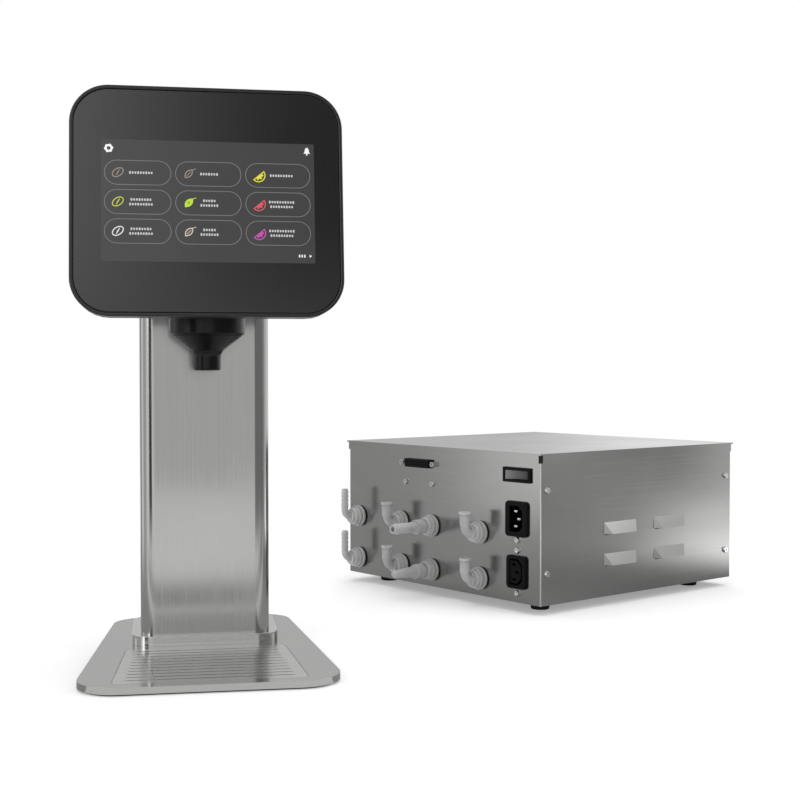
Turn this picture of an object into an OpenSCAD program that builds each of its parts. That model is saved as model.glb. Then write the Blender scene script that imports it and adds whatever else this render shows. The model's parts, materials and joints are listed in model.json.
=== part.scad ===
// Syrup dispensing set: a counter-top tap tower with a touch screen and a remote pump box.
// Origin on the counter, below the middle of the column; +X right, +Y back, +Z up, in millimetres.

/* [Base] */
// Width of the base plate at its front edge
base_front_w = 189; // [175:1:215]
// Width of the base plate at its rear edge
base_rear_w = 152; // [140:1:180]
// Depth of the base plate
base_depth = 265; // [260:1:290]
// Thickness of the base plate
base_t = 5; // [4.5:0.1:7]
// Distance from the column centre to the rear edge of the base
base_back = 82; // [76:1:90]
// Corner radius at the front of the base
base_front_r = 30; // [20:1:40]
// Corner radius at the rear of the base
base_rear_r = 25; // [15:1:35]
// Thickness of the rubber pad under the base
pad_t = 1.5; // [1:0.1:3]
// Radius of the hose hole in the base
hose_hole_r = 15; // [10:0.5:16]
// Distance of the hose hole behind the column centre
hose_hole_y = 20; // [17:0.5:21]
// Radius of the four counter fixing holes
fixing_r = 3.3; // [2.5:0.1:4]
// Spacing of the fixing holes across the base
fixing_dx = 76; // [60:1:80]
// Spacing of the fixing holes along the base
fixing_dy = 60; // [50:1:64]

/* [Drip plate] */
// Width of the drip plate at its front
drip_front_w = 139; // [130:1:150]
// Width of the drip plate at its rear
drip_rear_w = 125; // [115:1:130]
// Depth of the drip plate
drip_depth = 116; // [100:1:118]
// Distance from the column foot to the drip plate
drip_behind = 7.5; // [5:0.5:9]
// Height of the drip plate, flush with the base
drip_h = 3; // [2.5:0.1:3.5]
// Thickness of its slotted sheet
drip_sheet_t = 1.2; // [0.8:0.1:1.6]
// Number of slots
slot_count = 11; // [6:1:14]
// Width of each slot
slot_w = 1.4; // [1:0.1:2.5]

/* [Column] */
// Width of the column
col_w = 103; // [98:1:110]
// Depth of the column
col_d = 85; // [80:1:92]
// Corner radius of the column
col_r = 13; // [8:0.5:18]
// Wall of the column
col_wall = 2; // [1.5:0.1:2.5]
// Height of the column top above the counter
col_top = 404; // [395:1:412]
// How far the foot stands out past the column sides
foot_out_x = 7; // [4:0.5:9]
// How far the foot stands out past the column front and back
foot_out_y = 5; // [3:0.5:6]
// Height of the foot
foot_h = 8; // [7:0.5:12]

/* [Head] */
// Width of the head
head_w = 196; // [188:1:204]
// Height of the head along its face
head_h = 168; // [162:1:172]
// Corner radius of the head
head_r = 28; // [20:1:34]
// Depth of the front frame
frame_d = 16; // [14:0.5:20]
// Width of the rim round the glass
rim_w = 2.8; // [2:0.1:4]
// How far the face leans back, in degrees
head_tilt = 7; // [4:0.5:9]
// Distance of the middle of the face in front of the column centre
head_front = 148; // [142:1:154]
// Height of the middle of the face
head_z = 348.5; // [346:0.5:353]
// Thickness of the cover glass
glass_t = 3; // [2:0.1:4]
// Wall of the rear cover
cover_wall = 2.5; // [2:0.1:3]
// Width of the rear cover where it meets the column
cover_back_w = 152; // [146:1:160]
// Height of the rear cover where it meets the column
cover_back_h = 132; // [126:1:136]

/* [Nozzle] */
// Distance of the nozzle in front of the column centre
nozzle_front = 105; // [100:1:110]
// Outer radius of the collar
collar_r = 28.5; // [26:0.5:31]
// Height of the collar's lower face
collar_z = 252.7; // [250:0.1:255]
// Radius of the spout's sleeve inside the collar
sleeve_r = 14; // [12:0.5:16]
// Height of the spout's cone
cone_h = 12.5; // [8:0.5:14]
// Outer radius of the spout
spout_r = 10.3; // [8:0.1:11.5]
// Length of the spout below its cone
spout_len = 13.5; // [10:0.5:18]
// Bore radius of the spout
spout_bore_r = 7; // [5:0.5:7.5]

/* [Pump box] */
// Width of the connection panel
box_w = 285; // [280:1:300]
// Depth of the box
box_d = 280; // [270:1:300]
// Height of the box above its feet
box_h = 140; // [137:1:160]
// Sheet thickness
sheet_t = 1.5; // [1:0.1:2]
// Height of the lid's flange
lid_flange = 9; // [7:0.5:11]
// Opening at each corner of the lid's flange
lid_notch = 3; // [2:0.5:4]
// Height of the rubber feet
rubber_h = 9; // [7:0.5:12]
// Radius of the rubber feet at the top
rubber_r = 10; // [8:0.5:12]
// Distance of each foot from the sides of the box
rubber_inset = 30; // [26:1:36]
// Turn of the box about the vertical, in degrees
box_yaw = -60; // [-65:1:-55]
// Place of its near corner to the right of the column
box_x = 306; // [296:1:330]
// Place of its near corner behind the column centre
box_y = 60; // [40:1:80]

/* [Louvres] */
// Length of a louvre
louvre_w = 46; // [40:1:56]
// Height of a louvre
louvre_h = 11; // [9:0.5:14]
// How far a louvre stands out
louvre_out = 6; // [4:0.5:8]
// Distance from the near corner to the first louvre
louvre_y = 86; // [76:1:96]
// Spacing of the louvres along the panel
louvre_dy = 73; // [66:1:84]
// Height of the lower louvres
louvre_z = 30; // [24:1:40]
// Spacing of the louvre rows
louvre_dz = 30; // [22:1:36]

/* [Fittings] */
// Distance from the near corner to the first fitting
fit_u = 80; // [78:1:82]
// Distance from the last fitting to the far edge of the panel
fit_end = 18; // [17:0.5:24]
// Spacing of the two middle columns of fittings
pair_du = 47; // [46:0.5:52]
// Height of the lower row above the underside of the box
fit_z = 17; // [15:0.5:22]
// Spacing of the two rows
fit_dz = 44; // [42:1:48]
// Radius of the bulkhead flange
flange_r = 11; // [9.5:0.5:12]
// Radius of the swivel stem
stem_r = 5; // [4:0.1:5.5]
// Distance of an elbow's leg from the panel
leg_out = 20.5; // [20:0.5:24]
// Outer radius of a push-in elbow's bend
leg_r = 4.2; // [4:0.1:4.6]
// Outer radius of the barrel round its collet
barrel_r = 4.9; // [4.8:0.1:5.3]
// Height of a push-in elbow above its stem
leg_h = 17; // [16:0.5:20]
// Radius of the tube that the collet takes, with its clearance
port_r = 3.2; // [2.6:0.1:3.2]
// Travel of the release collet
collet_travel = 1.3; // [0.8:0.1:1.6]
// Outer radius of a barbed leg
barb_r = 3.5; // [3.3:0.1:4]
// Height of a barbed elbow above its stem
barb_h = 29.5; // [27:0.5:30]
// Number of barbs
barb_count = 4; // [3:1:5]
// Reach of a straight stub from the panel
stub_reach = 52; // [50:1:58]

/* [Panel fittings] */
// Distance from the near corner to the switch and the mains sockets
mains_u = 30; // [28:0.5:34]
// Height of the switch above the underside of the box
switch_z = 119; // [117:0.5:119.5]
// Length of the switch bezel
switch_w = 36; // [34:0.5:38]
// Height of the switch bezel
switch_h = 14; // [13:0.5:16]
// Swing of the rocker, in degrees
rocker_swing = 16; // [10:1:18]
// Height of the mains inlet
inlet_z = 78; // [77:0.5:80]
// Height of the mains outlet
outlet_z = 28.5; // [27:0.5:30]
// Spacing of the screws of each socket
socket_screw_dz = 40; // [39.5:0.1:41]
// Distance from the near corner to the data connector
data_u = 170.5; // [165:0.5:175]
// Height of the data connector
data_z = 122; // [121:0.5:123]
// Spacing of its jackscrews
jack_du = 47; // [46:0.5:49]
// Height of the two bracket screws below it
bracket_screw_z = 102.4; // [101:0.2:104]
// Spacing of the bracket screws
bracket_screw_du = 40.5; // [36:0.5:46]

/* [Hidden] */
$fn = 64;

// Clearances: between bodies, in a turning fit, round a fastener, and how far a cutter passes a face
gap = 0.3;
slip = 0.05;
hole_gap = 0.2;
past = 1;

// Facets of an outline inside a loft
loft_fn = 32;

// Levels and edges of the base
base_top = pad_t + base_t;
base_front_y = base_back - base_depth;
foot_top = base_top + foot_h;
foot_front_y = -col_d / 2 - foot_out_y;
drip_rear_y = foot_front_y - drip_behind;
drip_front_y = drip_rear_y - drip_depth;
drip_corner_r = 5;
drip_skirt_w = 2;
slot_margin = 9;
slot_end = 8;
pad_inset = 3;
pad_hole_gap = 2;

// Foot and its screws
spigot_t = 3;
spigot_h = 8;
foot_screw_r = 2.5;
foot_screw_grip = 5;
foot_screw_dx = 92;
foot_screw_dy = 24;
cone_head_r = 4.8;
cone_head_h = 2.4;

// Head, its cover and the shelf that carries the nozzle
glass_drop = 0.6;
seal_t = 0.8;
ledge_w = 6;
cover_step = 1.2;
cover_back_r = 22;
cover_drop = 8;
cover_back_z = head_z - cover_drop;
cover_back_y = -col_d / 2;
cap_t = 2;
bracket_t = 3;
bracket_margin_x = 3;
bracket_margin_z = 5;
bracket_y = cover_back_y - cover_wall;
bracket_w = cover_back_w - 2 * cover_wall - 2 * bracket_margin_x;
shelf_above = 2.5;
shelf_z = cover_back_z - cover_back_h / 2 + shelf_above;
bracket_h = cover_back_h - 2 * bracket_margin_z;
wing_above = 5;
wing_r = 8;
nut_r = 4.6;
nut_t = 4;
loft_edge = 1;
shelf_w = 84;
shelf_front = 24;
bolt_r = 2.5;
bolt_head_r = 5;
cover_head_r = 4.2;
bolt_dx = 68;
bolt_rise = [48, 92];
cover_screw_in = 12;
display_w = 165;
display_h = 98;
display_t = 7;
board_w = 130;
board_h = 84;
board_t = 1.6;
post_r = 3;
post_h = 8;
post_in = 6;

// Injector block and the tubes that rise to it
nozzle_y = -nozzle_front;
injector_w = 50;
injector_d = 40;
injector_h = 36;
neck_r = 9;
tube_r = 4;
tube_bore_r = 2.5;
tube_pitch = 9;
bend_r = 20;
bend_y = hose_hole_y - tube_pitch / 2 - bend_r;
bend_z = shelf_z + bracket_t + injector_h / 2 - tube_pitch / 2 - bend_r;
tube_start = 10;
window_w = 34;
window_h = 30;
window_z = bend_z + bend_r + tube_pitch / 2;

// Nozzle, with a twist lock of two lugs
collar_edge = 1.5;
sleeve_h = 14;
cone_top_r = collar_r - 2;
spout_edge = 1;
groove_d = 2.2;
groove_h = 2.6;
groove_z = 3;
lug_w = 6;
lug_h = 3;
lug_out = 2;
lug_z = 8.5;
lock_turn = 60;

// Straight lines that touch neighbouring circles, each given as [x, y, radius], going anticlockwise
function side_normal(a, b) =
    let (d = [b[0] - a[0], b[1] - a[1]], l = norm(d), c = (a[2] - b[2]) / l, s = sqrt(1 - c * c))
    [(d[0] * c + d[1] * s) / l, (d[1] * c - d[0] * s) / l];

// A slanting line lies a hair inside its circles, so that it crosses them and doesn't graze them
graze = 0.002;
function reach(r, n) = abs(n[0] * n[1]) > graze ? r - graze : r;

function tangent_points(corners) = [
    for (i = [0 : len(corners) - 1])
        let (a = corners[i], b = corners[(i + 1) % len(corners)], n = side_normal(a, b))
        each [[a[0], a[1]] + reach(a[2], n) * n, [b[0], b[1]] + reach(b[2], n) * n]
];

function rect_corners(w, h, r) = [
    [w / 2 - r, r - h / 2, r], [w / 2 - r, h / 2 - r, r],
    [r - w / 2, h / 2 - r, r], [r - w / 2, r - h / 2, r]
];

function trapezoid_corners(front_w, rear_w, front_y, rear_y, front_r, rear_r) = [
    [front_w / 2 - front_r, front_y + front_r, front_r], [rear_w / 2 - rear_r, rear_y - rear_r, rear_r],
    [rear_r - rear_w / 2, rear_y - rear_r, rear_r], [front_r - front_w / 2, front_y + front_r, front_r]
];

// The same outline drawn in by d
function drawn_in(corners, d) = [for (c = corners) [c[0], c[1], c[2] - d]];

// Outline with round corners
module rounded(corners) {
    polygon(tangent_points(corners));
    for (c = corners) translate([c[0], c[1]]) circle(c[2]);
}

module slab(corners, z, h) {
    translate([0, 0, z]) linear_extrude(h) rounded(corners);
}

// Places for pieces that come in fours, and in pairs
module four(dx, dy) {
    for (sx = [-1, 1], sy = [-1, 1]) translate([sx * dx / 2, sy * dy / 2, 0]) children();
}

// Screw along +Z with a coned head that starts at z = 0; as a cutter it is grown and starts lower
module cone_screw(r, length, grow, lead) {
    slope = (cone_head_r - r) / cone_head_h;
    rotate_extrude() polygon([
        [0, -lead], [cone_head_r + grow + lead * slope, -lead], [r + grow, cone_head_h],
        [r + grow, length], [0, length]
    ]);
}

// Shares of a pan head: its top radius, and the floor and radius of its hexagon recess
pan_top = 0.8;
hex_floor = 0.55;
hex_size = 0.38;

// Screw along -Z with a tapered pan head above z = 0
module pan_screw(r, length, head_r, head_h) {
    translate([0, 0, -length]) cylinder(r = r, h = length + head_h / 2);
    difference() {
        cylinder(r1 = head_r, r2 = head_r * pan_top, h = head_h);
        translate([0, 0, head_h * hex_floor]) cylinder(r = head_r * hex_size, h = head_h, $fn = 6);
    }
}

base_corners =
    trapezoid_corners(base_front_w, base_rear_w, base_front_y, base_back, base_front_r, base_rear_r);
drip_corners =
    trapezoid_corners(drip_front_w, drip_rear_w, drip_front_y, drip_rear_y, drip_corner_r, drip_corner_r);
column_corners = rect_corners(col_w, col_d, col_r);
foot_corners = rect_corners(col_w + 2 * foot_out_x, col_d + 2 * foot_out_y, col_r + foot_out_y);
head_corners = rect_corners(head_w, head_h, head_r);
cover_back_corners = rect_corners(cover_back_w, cover_back_h, cover_back_r);

// Stainless plate with a recess for the drip plate and holes for hoses and fixings
module base_plate() color("#b4b4b4") difference() {
    slab(base_corners, pad_t, base_t);
    slab(drawn_in(drip_corners, -gap), base_top - drip_h, drip_h + past);
    translate([0, hose_hole_y, pad_t - past]) cylinder(r = hose_hole_r, h = base_t + 2 * past);
    translate([0, 0, pad_t - past]) four(fixing_dx, fixing_dy) cylinder(r = fixing_r, h = base_t + 2 * past);
    translate([0, 0, pad_t]) four(foot_screw_dx, foot_screw_dy)
        cone_screw(foot_screw_r, base_t + past, hole_gap, past);
}

module base_pad() color("#1c1c1c") difference() {
    slab(drawn_in(base_corners, pad_inset), 0, pad_t);
    translate([0, hose_hole_y, -past]) cylinder(r = hose_hole_r + pad_hole_gap, h = pad_t + 2 * past);
    translate([0, 0, -past]) {
        four(fixing_dx, fixing_dy) cylinder(r = fixing_r + pad_hole_gap, h = pad_t + 2 * past);
        four(foot_screw_dx, foot_screw_dy) cylinder(r = cone_head_r + pad_hole_gap, h = pad_t + 2 * past);
    }
}

// Slot with round ends, centred on the origin
module slot(length, width, h) {
    translate([-(length - width) / 2, -width / 2, 0]) cube([length - width, width, h]);
    for (s = [-1, 1]) translate([s * (length - width) / 2, 0, 0]) cylinder(r = width / 2, h = h);
}

// Slotted sheet that stands on its own skirt in the recess of the base
module drip_plate() {
    pitch = (drip_depth - 2 * slot_margin) / (slot_count - 1);
    color("#c0c0c0") difference() {
        slab(drip_corners, base_top - drip_h, drip_h);
        slab(drawn_in(drip_corners, drip_skirt_w), base_top - drip_h - past, drip_h - drip_sheet_t + past);
        for (i = [0 : slot_count - 1]) {
            from_front = slot_margin + i * pitch;
            width = drip_front_w + (drip_rear_w - drip_front_w) * from_front / drip_depth;
            translate([0, drip_front_y + from_front, base_top - drip_h])
                slot(width - 2 * slot_end, slot_w, drip_h + past);
        }
    }
}

// Plinth with a spigot that locates the column
module column_foot() color("#bdbdbd") difference() {
    union() {
        slab(foot_corners, base_top, foot_h);
        slab(drawn_in(column_corners, col_wall + gap), base_top, foot_h + spigot_h);
    }
    slab(drawn_in(column_corners, col_wall + gap + spigot_t), foot_top, spigot_h + past);
    translate([0, hose_hole_y, base_top - past])
        cylinder(r = hose_hole_r + pad_hole_gap, h = foot_h + spigot_h + 2 * past);
    translate([0, 0, base_top - past]) {
        four(fixing_dx, fixing_dy) cylinder(r = fixing_r, h = foot_h + 2 * past);
        four(foot_screw_dx, foot_screw_dy) cylinder(r = foot_screw_r + slip, h = foot_screw_grip + past);
    }
}

module foot_screws() color("#8d8d8d") translate([0, 0, pad_t]) four(foot_screw_dx, foot_screw_dy)
    cone_screw(foot_screw_r, base_t + foot_screw_grip, 0, 0);

// Tube passages and bolt holes that the column, the cover and the bracket share, along Y
module head_passages(y, depth, grow) {
    translate([-window_w / 2, y, window_z - window_h / 2]) cube([window_w, depth, window_h]);
    for (rise = bolt_rise, s = [-1, 1])
        translate([s * bolt_dx / 2, y, shelf_z + rise]) rotate([-90, 0, 0])
            cylinder(r = bolt_r + grow, h = depth);
}

// Stainless tube with rounded corners
module column() color("#c6c6c6") difference() {
    slab(column_corners, foot_top, col_top - foot_top);
    slab(drawn_in(column_corners, col_wall), foot_top - past, col_top - foot_top + 2 * past);
    head_passages(-col_d / 2 - past, col_wall + 2 * past, hole_gap);
}

module column_cap() color("#c6c6c6") {
    slab(column_corners, col_top, cap_t);
    slab(drawn_in(column_corners, col_wall + gap), col_top - spigot_h, spigot_h + cap_t / 2);
}

// Steel angle: a plate with wings bolted to the column and a shelf under the injector block
module head_bracket() color("#9a9a9a") difference() {
    union() {
        translate([0, bracket_y, shelf_z + (bracket_h + wing_above) / 2]) rotate([90, 0, 0])
            slab(rect_corners(bracket_w, bracket_h - wing_above, wing_r), 0, bracket_t);
        translate([-shelf_w / 2, bracket_y - bracket_t, shelf_z]) cube([shelf_w, bracket_t, bracket_h / 2]);
        translate([-shelf_w / 2, nozzle_y - shelf_front, shelf_z])
            cube([shelf_w, bracket_y - nozzle_y + shelf_front, bracket_t]);
    }
    head_passages(bracket_y - bracket_t - past, bracket_t + 2 * past, hole_gap);
    translate([0, nozzle_y, shelf_z - past]) cylinder(r = neck_r + gap, h = bracket_t + 2 * past);
    cover_screw_holes(bracket_y - bracket_t - past, bracket_t + 2 * past, slip);
}

module cover_screw_places(y) {
    translate([0, y, cover_back_z]) rotate([90, 0, 0])
        four(cover_back_w - 2 * cover_screw_in, cover_back_h - 2 * cover_screw_in) children();
}

module cover_screw_holes(y, depth, grow) {
    cover_screw_places(y + depth) cylinder(r = bolt_r + grow, h = depth);
}

// Bolts through the bracket, the cover and the column wall, each with a nut inside the column
module bracket_bolts() color("#8d8d8d") for (rise = bolt_rise, s = [-1, 1])
    translate([s * bolt_dx / 2, bracket_y - bracket_t, shelf_z + rise]) rotate([90, 0, 0]) {
        pan_screw(bolt_r, bracket_t + cover_wall + col_wall + nut_t, bolt_head_r, bolt_r);
        translate([0, 0, -bracket_t - cover_wall - col_wall - nut_t])
            cylinder(r = nut_r, h = nut_t, $fn = 6);
    }

module cover_screws() color("#2a2a2a") cover_screw_places(cover_back_y) rotate([180, 0, 0])
    pan_screw(bolt_r, cover_wall + bracket_t, cover_head_r, bolt_r);

// Frame of the face: x right, y up the face, z out of it, origin at the middle of the face
module head_place() {
    translate([0, -head_front, head_z]) rotate([90 - head_tilt, 0, 0]) children();
}

glass_back = -glass_drop - glass_t;

// Moulded front frame with a ledge for the glass
module head_frame() color("#262626") head_place() difference() {
    slab(head_corners, -frame_d, frame_d);
    slab(drawn_in(head_corners, rim_w), glass_back - seal_t, glass_t + seal_t + glass_drop + past);
    slab(drawn_in(head_corners, rim_w + ledge_w), -frame_d - past, frame_d);
}

module cover_glass() color("#303030") head_place()
    slab(drawn_in(head_corners, rim_w + gap), glass_back, glass_t);

module glass_seal() color("#111111") head_place() difference() {
    slab(drawn_in(head_corners, rim_w + gap), glass_back - seal_t, seal_t);
    slab(drawn_in(head_corners, rim_w + ledge_w), glass_back - seal_t - past, seal_t + 2 * past);
}

module display_module() color("#4e4e4e") head_place()
    translate([-display_w / 2, -display_h / 2, glass_back - display_t])
        cube([display_w, display_h, display_t]);

// Circuit board on four posts behind the display
module control_board() color("#1f5b34") head_place() translate([0, 0, glass_back - display_t]) {
    translate([-board_w / 2, -board_h / 2, -post_h - board_t]) cube([board_w, board_h, board_t]);
    four(board_w - 2 * post_in, board_h - 2 * post_in) translate([0, 0, -post_h - board_t / 2])
        cylinder(r = post_r, h = post_h + board_t / 2);
}

// Space between the frame and the column, drawn in by d, from front_z on the face to the back wall
module cover_loft(d, front_z, front_t) hull() {
    head_place() slab(drawn_in(head_corners, cover_step + d), front_z, front_t, $fn = loft_fn);
    translate([0, cover_back_y - d, cover_back_z]) rotate([90, 0, 0])
        slab(drawn_in(cover_back_corners, d), 0, loft_edge, $fn = loft_fn);
}

// Moulded shell that tapers from the frame to the column
module head_rear_cover() color("#202020") difference() {
    cover_loft(0, -frame_d - loft_edge, loft_edge);
    cover_loft(cover_wall, -frame_d - loft_edge, loft_edge + past);
    translate([0, nozzle_y, collar_z]) cylinder(r = collar_r + gap, h = shelf_z - collar_z);
    head_passages(cover_back_y - cover_wall - past, cover_wall + 2 * past, hole_gap);
    cover_screw_holes(cover_back_y - cover_wall - past, cover_wall + 2 * past, hole_gap);
}

// Block that gathers the syrup lines, with a neck through the shelf
module injector_block() color("#d8d8d0") translate([0, nozzle_y, shelf_z]) difference() {
    union() {
        translate([-injector_w / 2, -injector_d / 2, bracket_t]) cube([injector_w, injector_d, injector_h]);
        cylinder(r = neck_r, h = bracket_t + injector_h / 2);
    }
    translate([0, 0, -past]) cylinder(r = spout_bore_r, h = bracket_t + injector_h / 2);
}

// Two rows of two tubes that rise in the column and bend forward to the injector block
module riser_tubes() color("#d9dde0") for (sx = [-1, 1], row = [0, 1]) {
    r = bend_r + row * tube_pitch;
    rise = bend_z - foot_top - tube_start;
    run = bend_y - nozzle_y - injector_d / 2;
    translate([sx * tube_pitch / 2, bend_y, bend_z]) {
        translate([0, r, -rise]) tube(rise);
        rotate([90, 0, 90]) rotate_extrude(angle = 90) translate([r, 0]) difference() {
            circle(tube_r);
            circle(tube_bore_r);
        }
        translate([0, 0, r]) rotate([90, 0, 0]) tube(run);
    }
}

module tube(h) difference() {
    cylinder(r = tube_r, h = h);
    translate([0, 0, -past]) cylinder(r = tube_bore_r, h = h + 2 * past);
}

lock_r = sleeve_r + lug_out + gap;
lock_z = lug_z - gap;
lock_h = lug_h + 2 * gap;

// Black collar under the head, with a ring groove and two entry slots for the spout's lugs
module nozzle_collar() color("#161616") translate([0, nozzle_y, collar_z]) difference() {
    rotate_extrude() polygon([
        [sleeve_r + slip, 0], [collar_r - collar_edge, 0], [collar_r, collar_edge],
        [collar_r, shelf_z - collar_z], [neck_r, shelf_z - collar_z], [neck_r, sleeve_h + gap],
        [sleeve_r + slip, sleeve_h + gap], [sleeve_r + slip, lock_z + lock_h], [lock_r, lock_z + lock_h],
        [lock_r, lock_z], [sleeve_r + slip, lock_z]
    ]);
    rotate(lock_turn) intersection() {
        translate([-lock_r, -lug_w / 2 - gap, -past])
            cube([2 * lock_r, lug_w + 2 * gap, past + lock_z + lock_h / 2]);
        translate([0, 0, -past]) cylinder(r = lock_r - slip, h = 2 * lock_z + lock_h);
    }
}

// Spout with a cone, a sleeve with a groove for its o-ring, and two locking lugs
module nozzle_spout() color("#131313") translate([0, nozzle_y, collar_z]) {
    cone_foot = -gap - cone_h;
    rotate_extrude() polygon([
        [spout_bore_r, cone_foot - spout_len], [spout_r - spout_edge, cone_foot - spout_len],
        [spout_r, cone_foot - spout_len + spout_edge], [spout_r, cone_foot], [cone_top_r, -gap],
        [sleeve_r, -gap], [sleeve_r, groove_z], [sleeve_r - groove_d, groove_z],
        [sleeve_r - groove_d, groove_z + groove_h], [sleeve_r, groove_z + groove_h],
        [sleeve_r, sleeve_h], [spout_bore_r, sleeve_h]
    ]);
    intersection() {
        translate([-sleeve_r - lug_out, -lug_w / 2, lug_z]) cube([2 * (sleeve_r + lug_out), lug_w, lug_h]);
        difference() {
            translate([0, 0, lug_z]) cylinder(r = sleeve_r + lug_out, h = lug_h);
            cylinder(r = sleeve_r - spout_edge, h = sleeve_h + past);
        }
    }
}

module nozzle_o_ring() color("#3a3a3a") translate([0, nozzle_y, collar_z + groove_z + groove_h / 2])
    rotate_extrude() translate([sleeve_r - groove_d / 2, 0]) circle(groove_d / 2);

// Pump box frame: near corner at x = 0, y = 0; the connection panel runs along -x and faces -y
module box_place() {
    translate([box_x, box_y, 0]) rotate(box_yaw) children();
}

// Places on the panels: x along the panel, y up from the underside of the box, z out of the panel
module panel_at(u, z) box_place() translate([-u, 0, rubber_h + z]) rotate([90, 0, 0]) children();
module louvre_side() box_place() translate([0, 0, rubber_h]) rotate([90, 0, 90]) children();
module far_side() box_place() translate([-box_w, box_d, rubber_h]) rotate([90, 0, -90]) children();

wall_h = box_h - sheet_t;
pan_flange = 12;
return_flange = 15;
lid_gap = 0.5;
lid_over = sheet_t + lid_gap;
rubber_taper = 1.5;
recess_r = 5;
recess_h = 4;
small_screw_r = 1.7;
small_head_r = 3.2;
small_head_h = 2;
screw_grip = 6;
edge_screw_in = 8;
edge_screw_z = [29, 106];
lid_screw_du = 200;

module feet_places() box_place() {
    for (x = [-rubber_inset, rubber_inset - box_w], y = [rubber_inset, box_d - rubber_inset])
        translate([x, y, 0]) children();
}

// Bottom sheet with upturned flanges on three sides
module floor_pan() color("#a8a8a8") difference() {
    box_place() translate([sheet_t - box_w, sheet_t, rubber_h]) difference() {
        cube([box_w - 2 * sheet_t, box_d - 2 * sheet_t, pan_flange]);
        translate([sheet_t, -past, sheet_t])
            cube([box_w - 4 * sheet_t, box_d - 3 * sheet_t + past, pan_flange]);
    }
    feet_places() translate([0, 0, rubber_h - past])
        cylinder(r = small_screw_r + hole_gap, h = sheet_t + 2 * past);
}

// Upright sheet with a return flange along each end, lying against y = 0 and facing -y
module end_sheet() {
    translate([-box_w, 0, 0]) cube([box_w, sheet_t, wall_h]);
    for (x = [sheet_t - box_w, -2 * sheet_t]) translate([x, sheet_t / 2, pan_flange + gap])
        cube([sheet_t, return_flange, wall_h - pan_flange - 2 * gap]);
}

// Holes for the screws along both upright edges of the side sheets
module edge_screw_places() for (x = [edge_screw_in, box_d - edge_screw_in], y = edge_screw_z)
    translate([x, y, 0]) children();

module edge_screw_holes(grow) edge_screw_places()
    translate([0, 0, -2 * sheet_t - past]) cylinder(r = small_screw_r + grow, h = 2 * sheet_t + 2 * past);

fit_far = box_w - fit_end;
fit_mid = (fit_u + fit_far) / 2;
fit_us = [fit_u, fit_mid - pair_du / 2, fit_mid + pair_du / 2, fit_far];
fit_zs = [fit_z + fit_dz, fit_z];
bulk_r = 8;
inlet_w = 28;
inlet_h = 33;
outlet_w = 25;
outlet_h = 31;
socket_corner_r = 4;
cut_r = 1;
socket_out = 2.5;
tongue_w = 16;
tongue_t = 3;
tongue_past_screw = 4.5;
tongue_h = socket_screw_dz + 2 * tongue_past_screw;
switch_lip = 2;
data_w = 38;
data_h = 8.4;
data_slant = 1.4;
data_body_h = 12.5;
data_body_w = 54;
data_body_d = 9;
data_out = 4;

module socket_screw_places() {
    panel_at(mains_u, inlet_z - socket_screw_dz / 2) children();
    for (s = [-1, 1]) panel_at(mains_u, outlet_z + s * socket_screw_dz / 2) children();
}

module jack_places() for (s = [-1, 1]) panel_at(data_u + s * jack_du / 2, data_z) children();

module bracket_screw_places() for (s = [-1, 1])
    panel_at(data_u + s * bracket_screw_du / 2, bracket_screw_z) children();

// Sheet that carries the fittings, the sockets, the switch and the data connector
module connection_panel() color("#b0b0b0") difference() {
    box_place() translate([0, 0, rubber_h]) end_sheet();
    louvre_side() edge_screw_holes(slip);
    far_side() edge_screw_holes(slip);
    for (u = fit_us, z = fit_zs) panel_at(u, z) panel_hole(bulk_r + hole_gap);
    panel_at(mains_u, switch_z)
        panel_cut(rect_corners(switch_w - 2 * switch_lip, switch_h - switch_lip, cut_r));
    panel_at(mains_u, inlet_z) panel_cut(rect_corners(inlet_w + gap, inlet_h + gap, socket_corner_r));
    panel_at(mains_u, outlet_z) panel_cut(rect_corners(outlet_w + gap, outlet_h + gap, socket_corner_r));
    panel_at(data_u, data_z) panel_cut(rect_corners(data_w + gap, data_h + gap, cut_r));
    socket_screw_places() panel_hole(small_screw_r + hole_gap);
    jack_places() panel_hole(small_screw_r + hole_gap);
    bracket_screw_places() panel_hole(small_screw_r + hole_gap);
}

module panel_cut(corners) slab(corners, -sheet_t - past, sheet_t + 2 * past);
module panel_hole(r) translate([0, 0, -sheet_t - past]) cylinder(r = r, h = sheet_t + 2 * past);

module rear_panel() color("#a8a8a8") difference() {
    box_place() translate([-box_w, box_d, rubber_h]) rotate(180) end_sheet();
    louvre_side() edge_screw_holes(slip);
    far_side() edge_screw_holes(slip);
    lid_screw_places() cylinder(r = small_screw_r + slip, h = 2 * (lid_over + sheet_t + past), center = true);
}

hood_wall = 1;

// Hood of a louvre, d inside its outer faces, open below, with ends that slope at 45 degrees
module hood(d) {
    out = louvre_out - d;
    top = louvre_h - 2 * d;
    end = sqrt(2) * d;
    intersection() {
        rotate([90, 0, 90]) linear_extrude(louvre_w) polygon([
            [-d, -sheet_t - d], [-d, out * (1 + d / top)], [top, 0], [top, -sheet_t - d]
        ]);
        translate([0, louvre_h, 0]) rotate([90, 0, 0]) linear_extrude(louvre_h + d) polygon([
            [end, -sheet_t - d], [louvre_w - end, -sheet_t - d], [louvre_w - end, 0],
            [louvre_w - end - louvre_out, louvre_out], [end + louvre_out, louvre_out], [end, 0]
        ]);
    }
}

module louvre_places() for (i = [0, 1], j = [0, 1])
    translate([louvre_y + i * louvre_dy, louvre_z + j * louvre_dz, 0]) children();

// Side sheet with four pressed louvres
module side_sheet() difference() {
    union() {
        translate([sheet_t, 0, -sheet_t]) cube([box_d - 2 * sheet_t, wall_h, sheet_t]);
        louvre_places() hood(0);
    }
    louvre_places() hood(hood_wall);
    edge_screw_holes(hole_gap);
}

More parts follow.
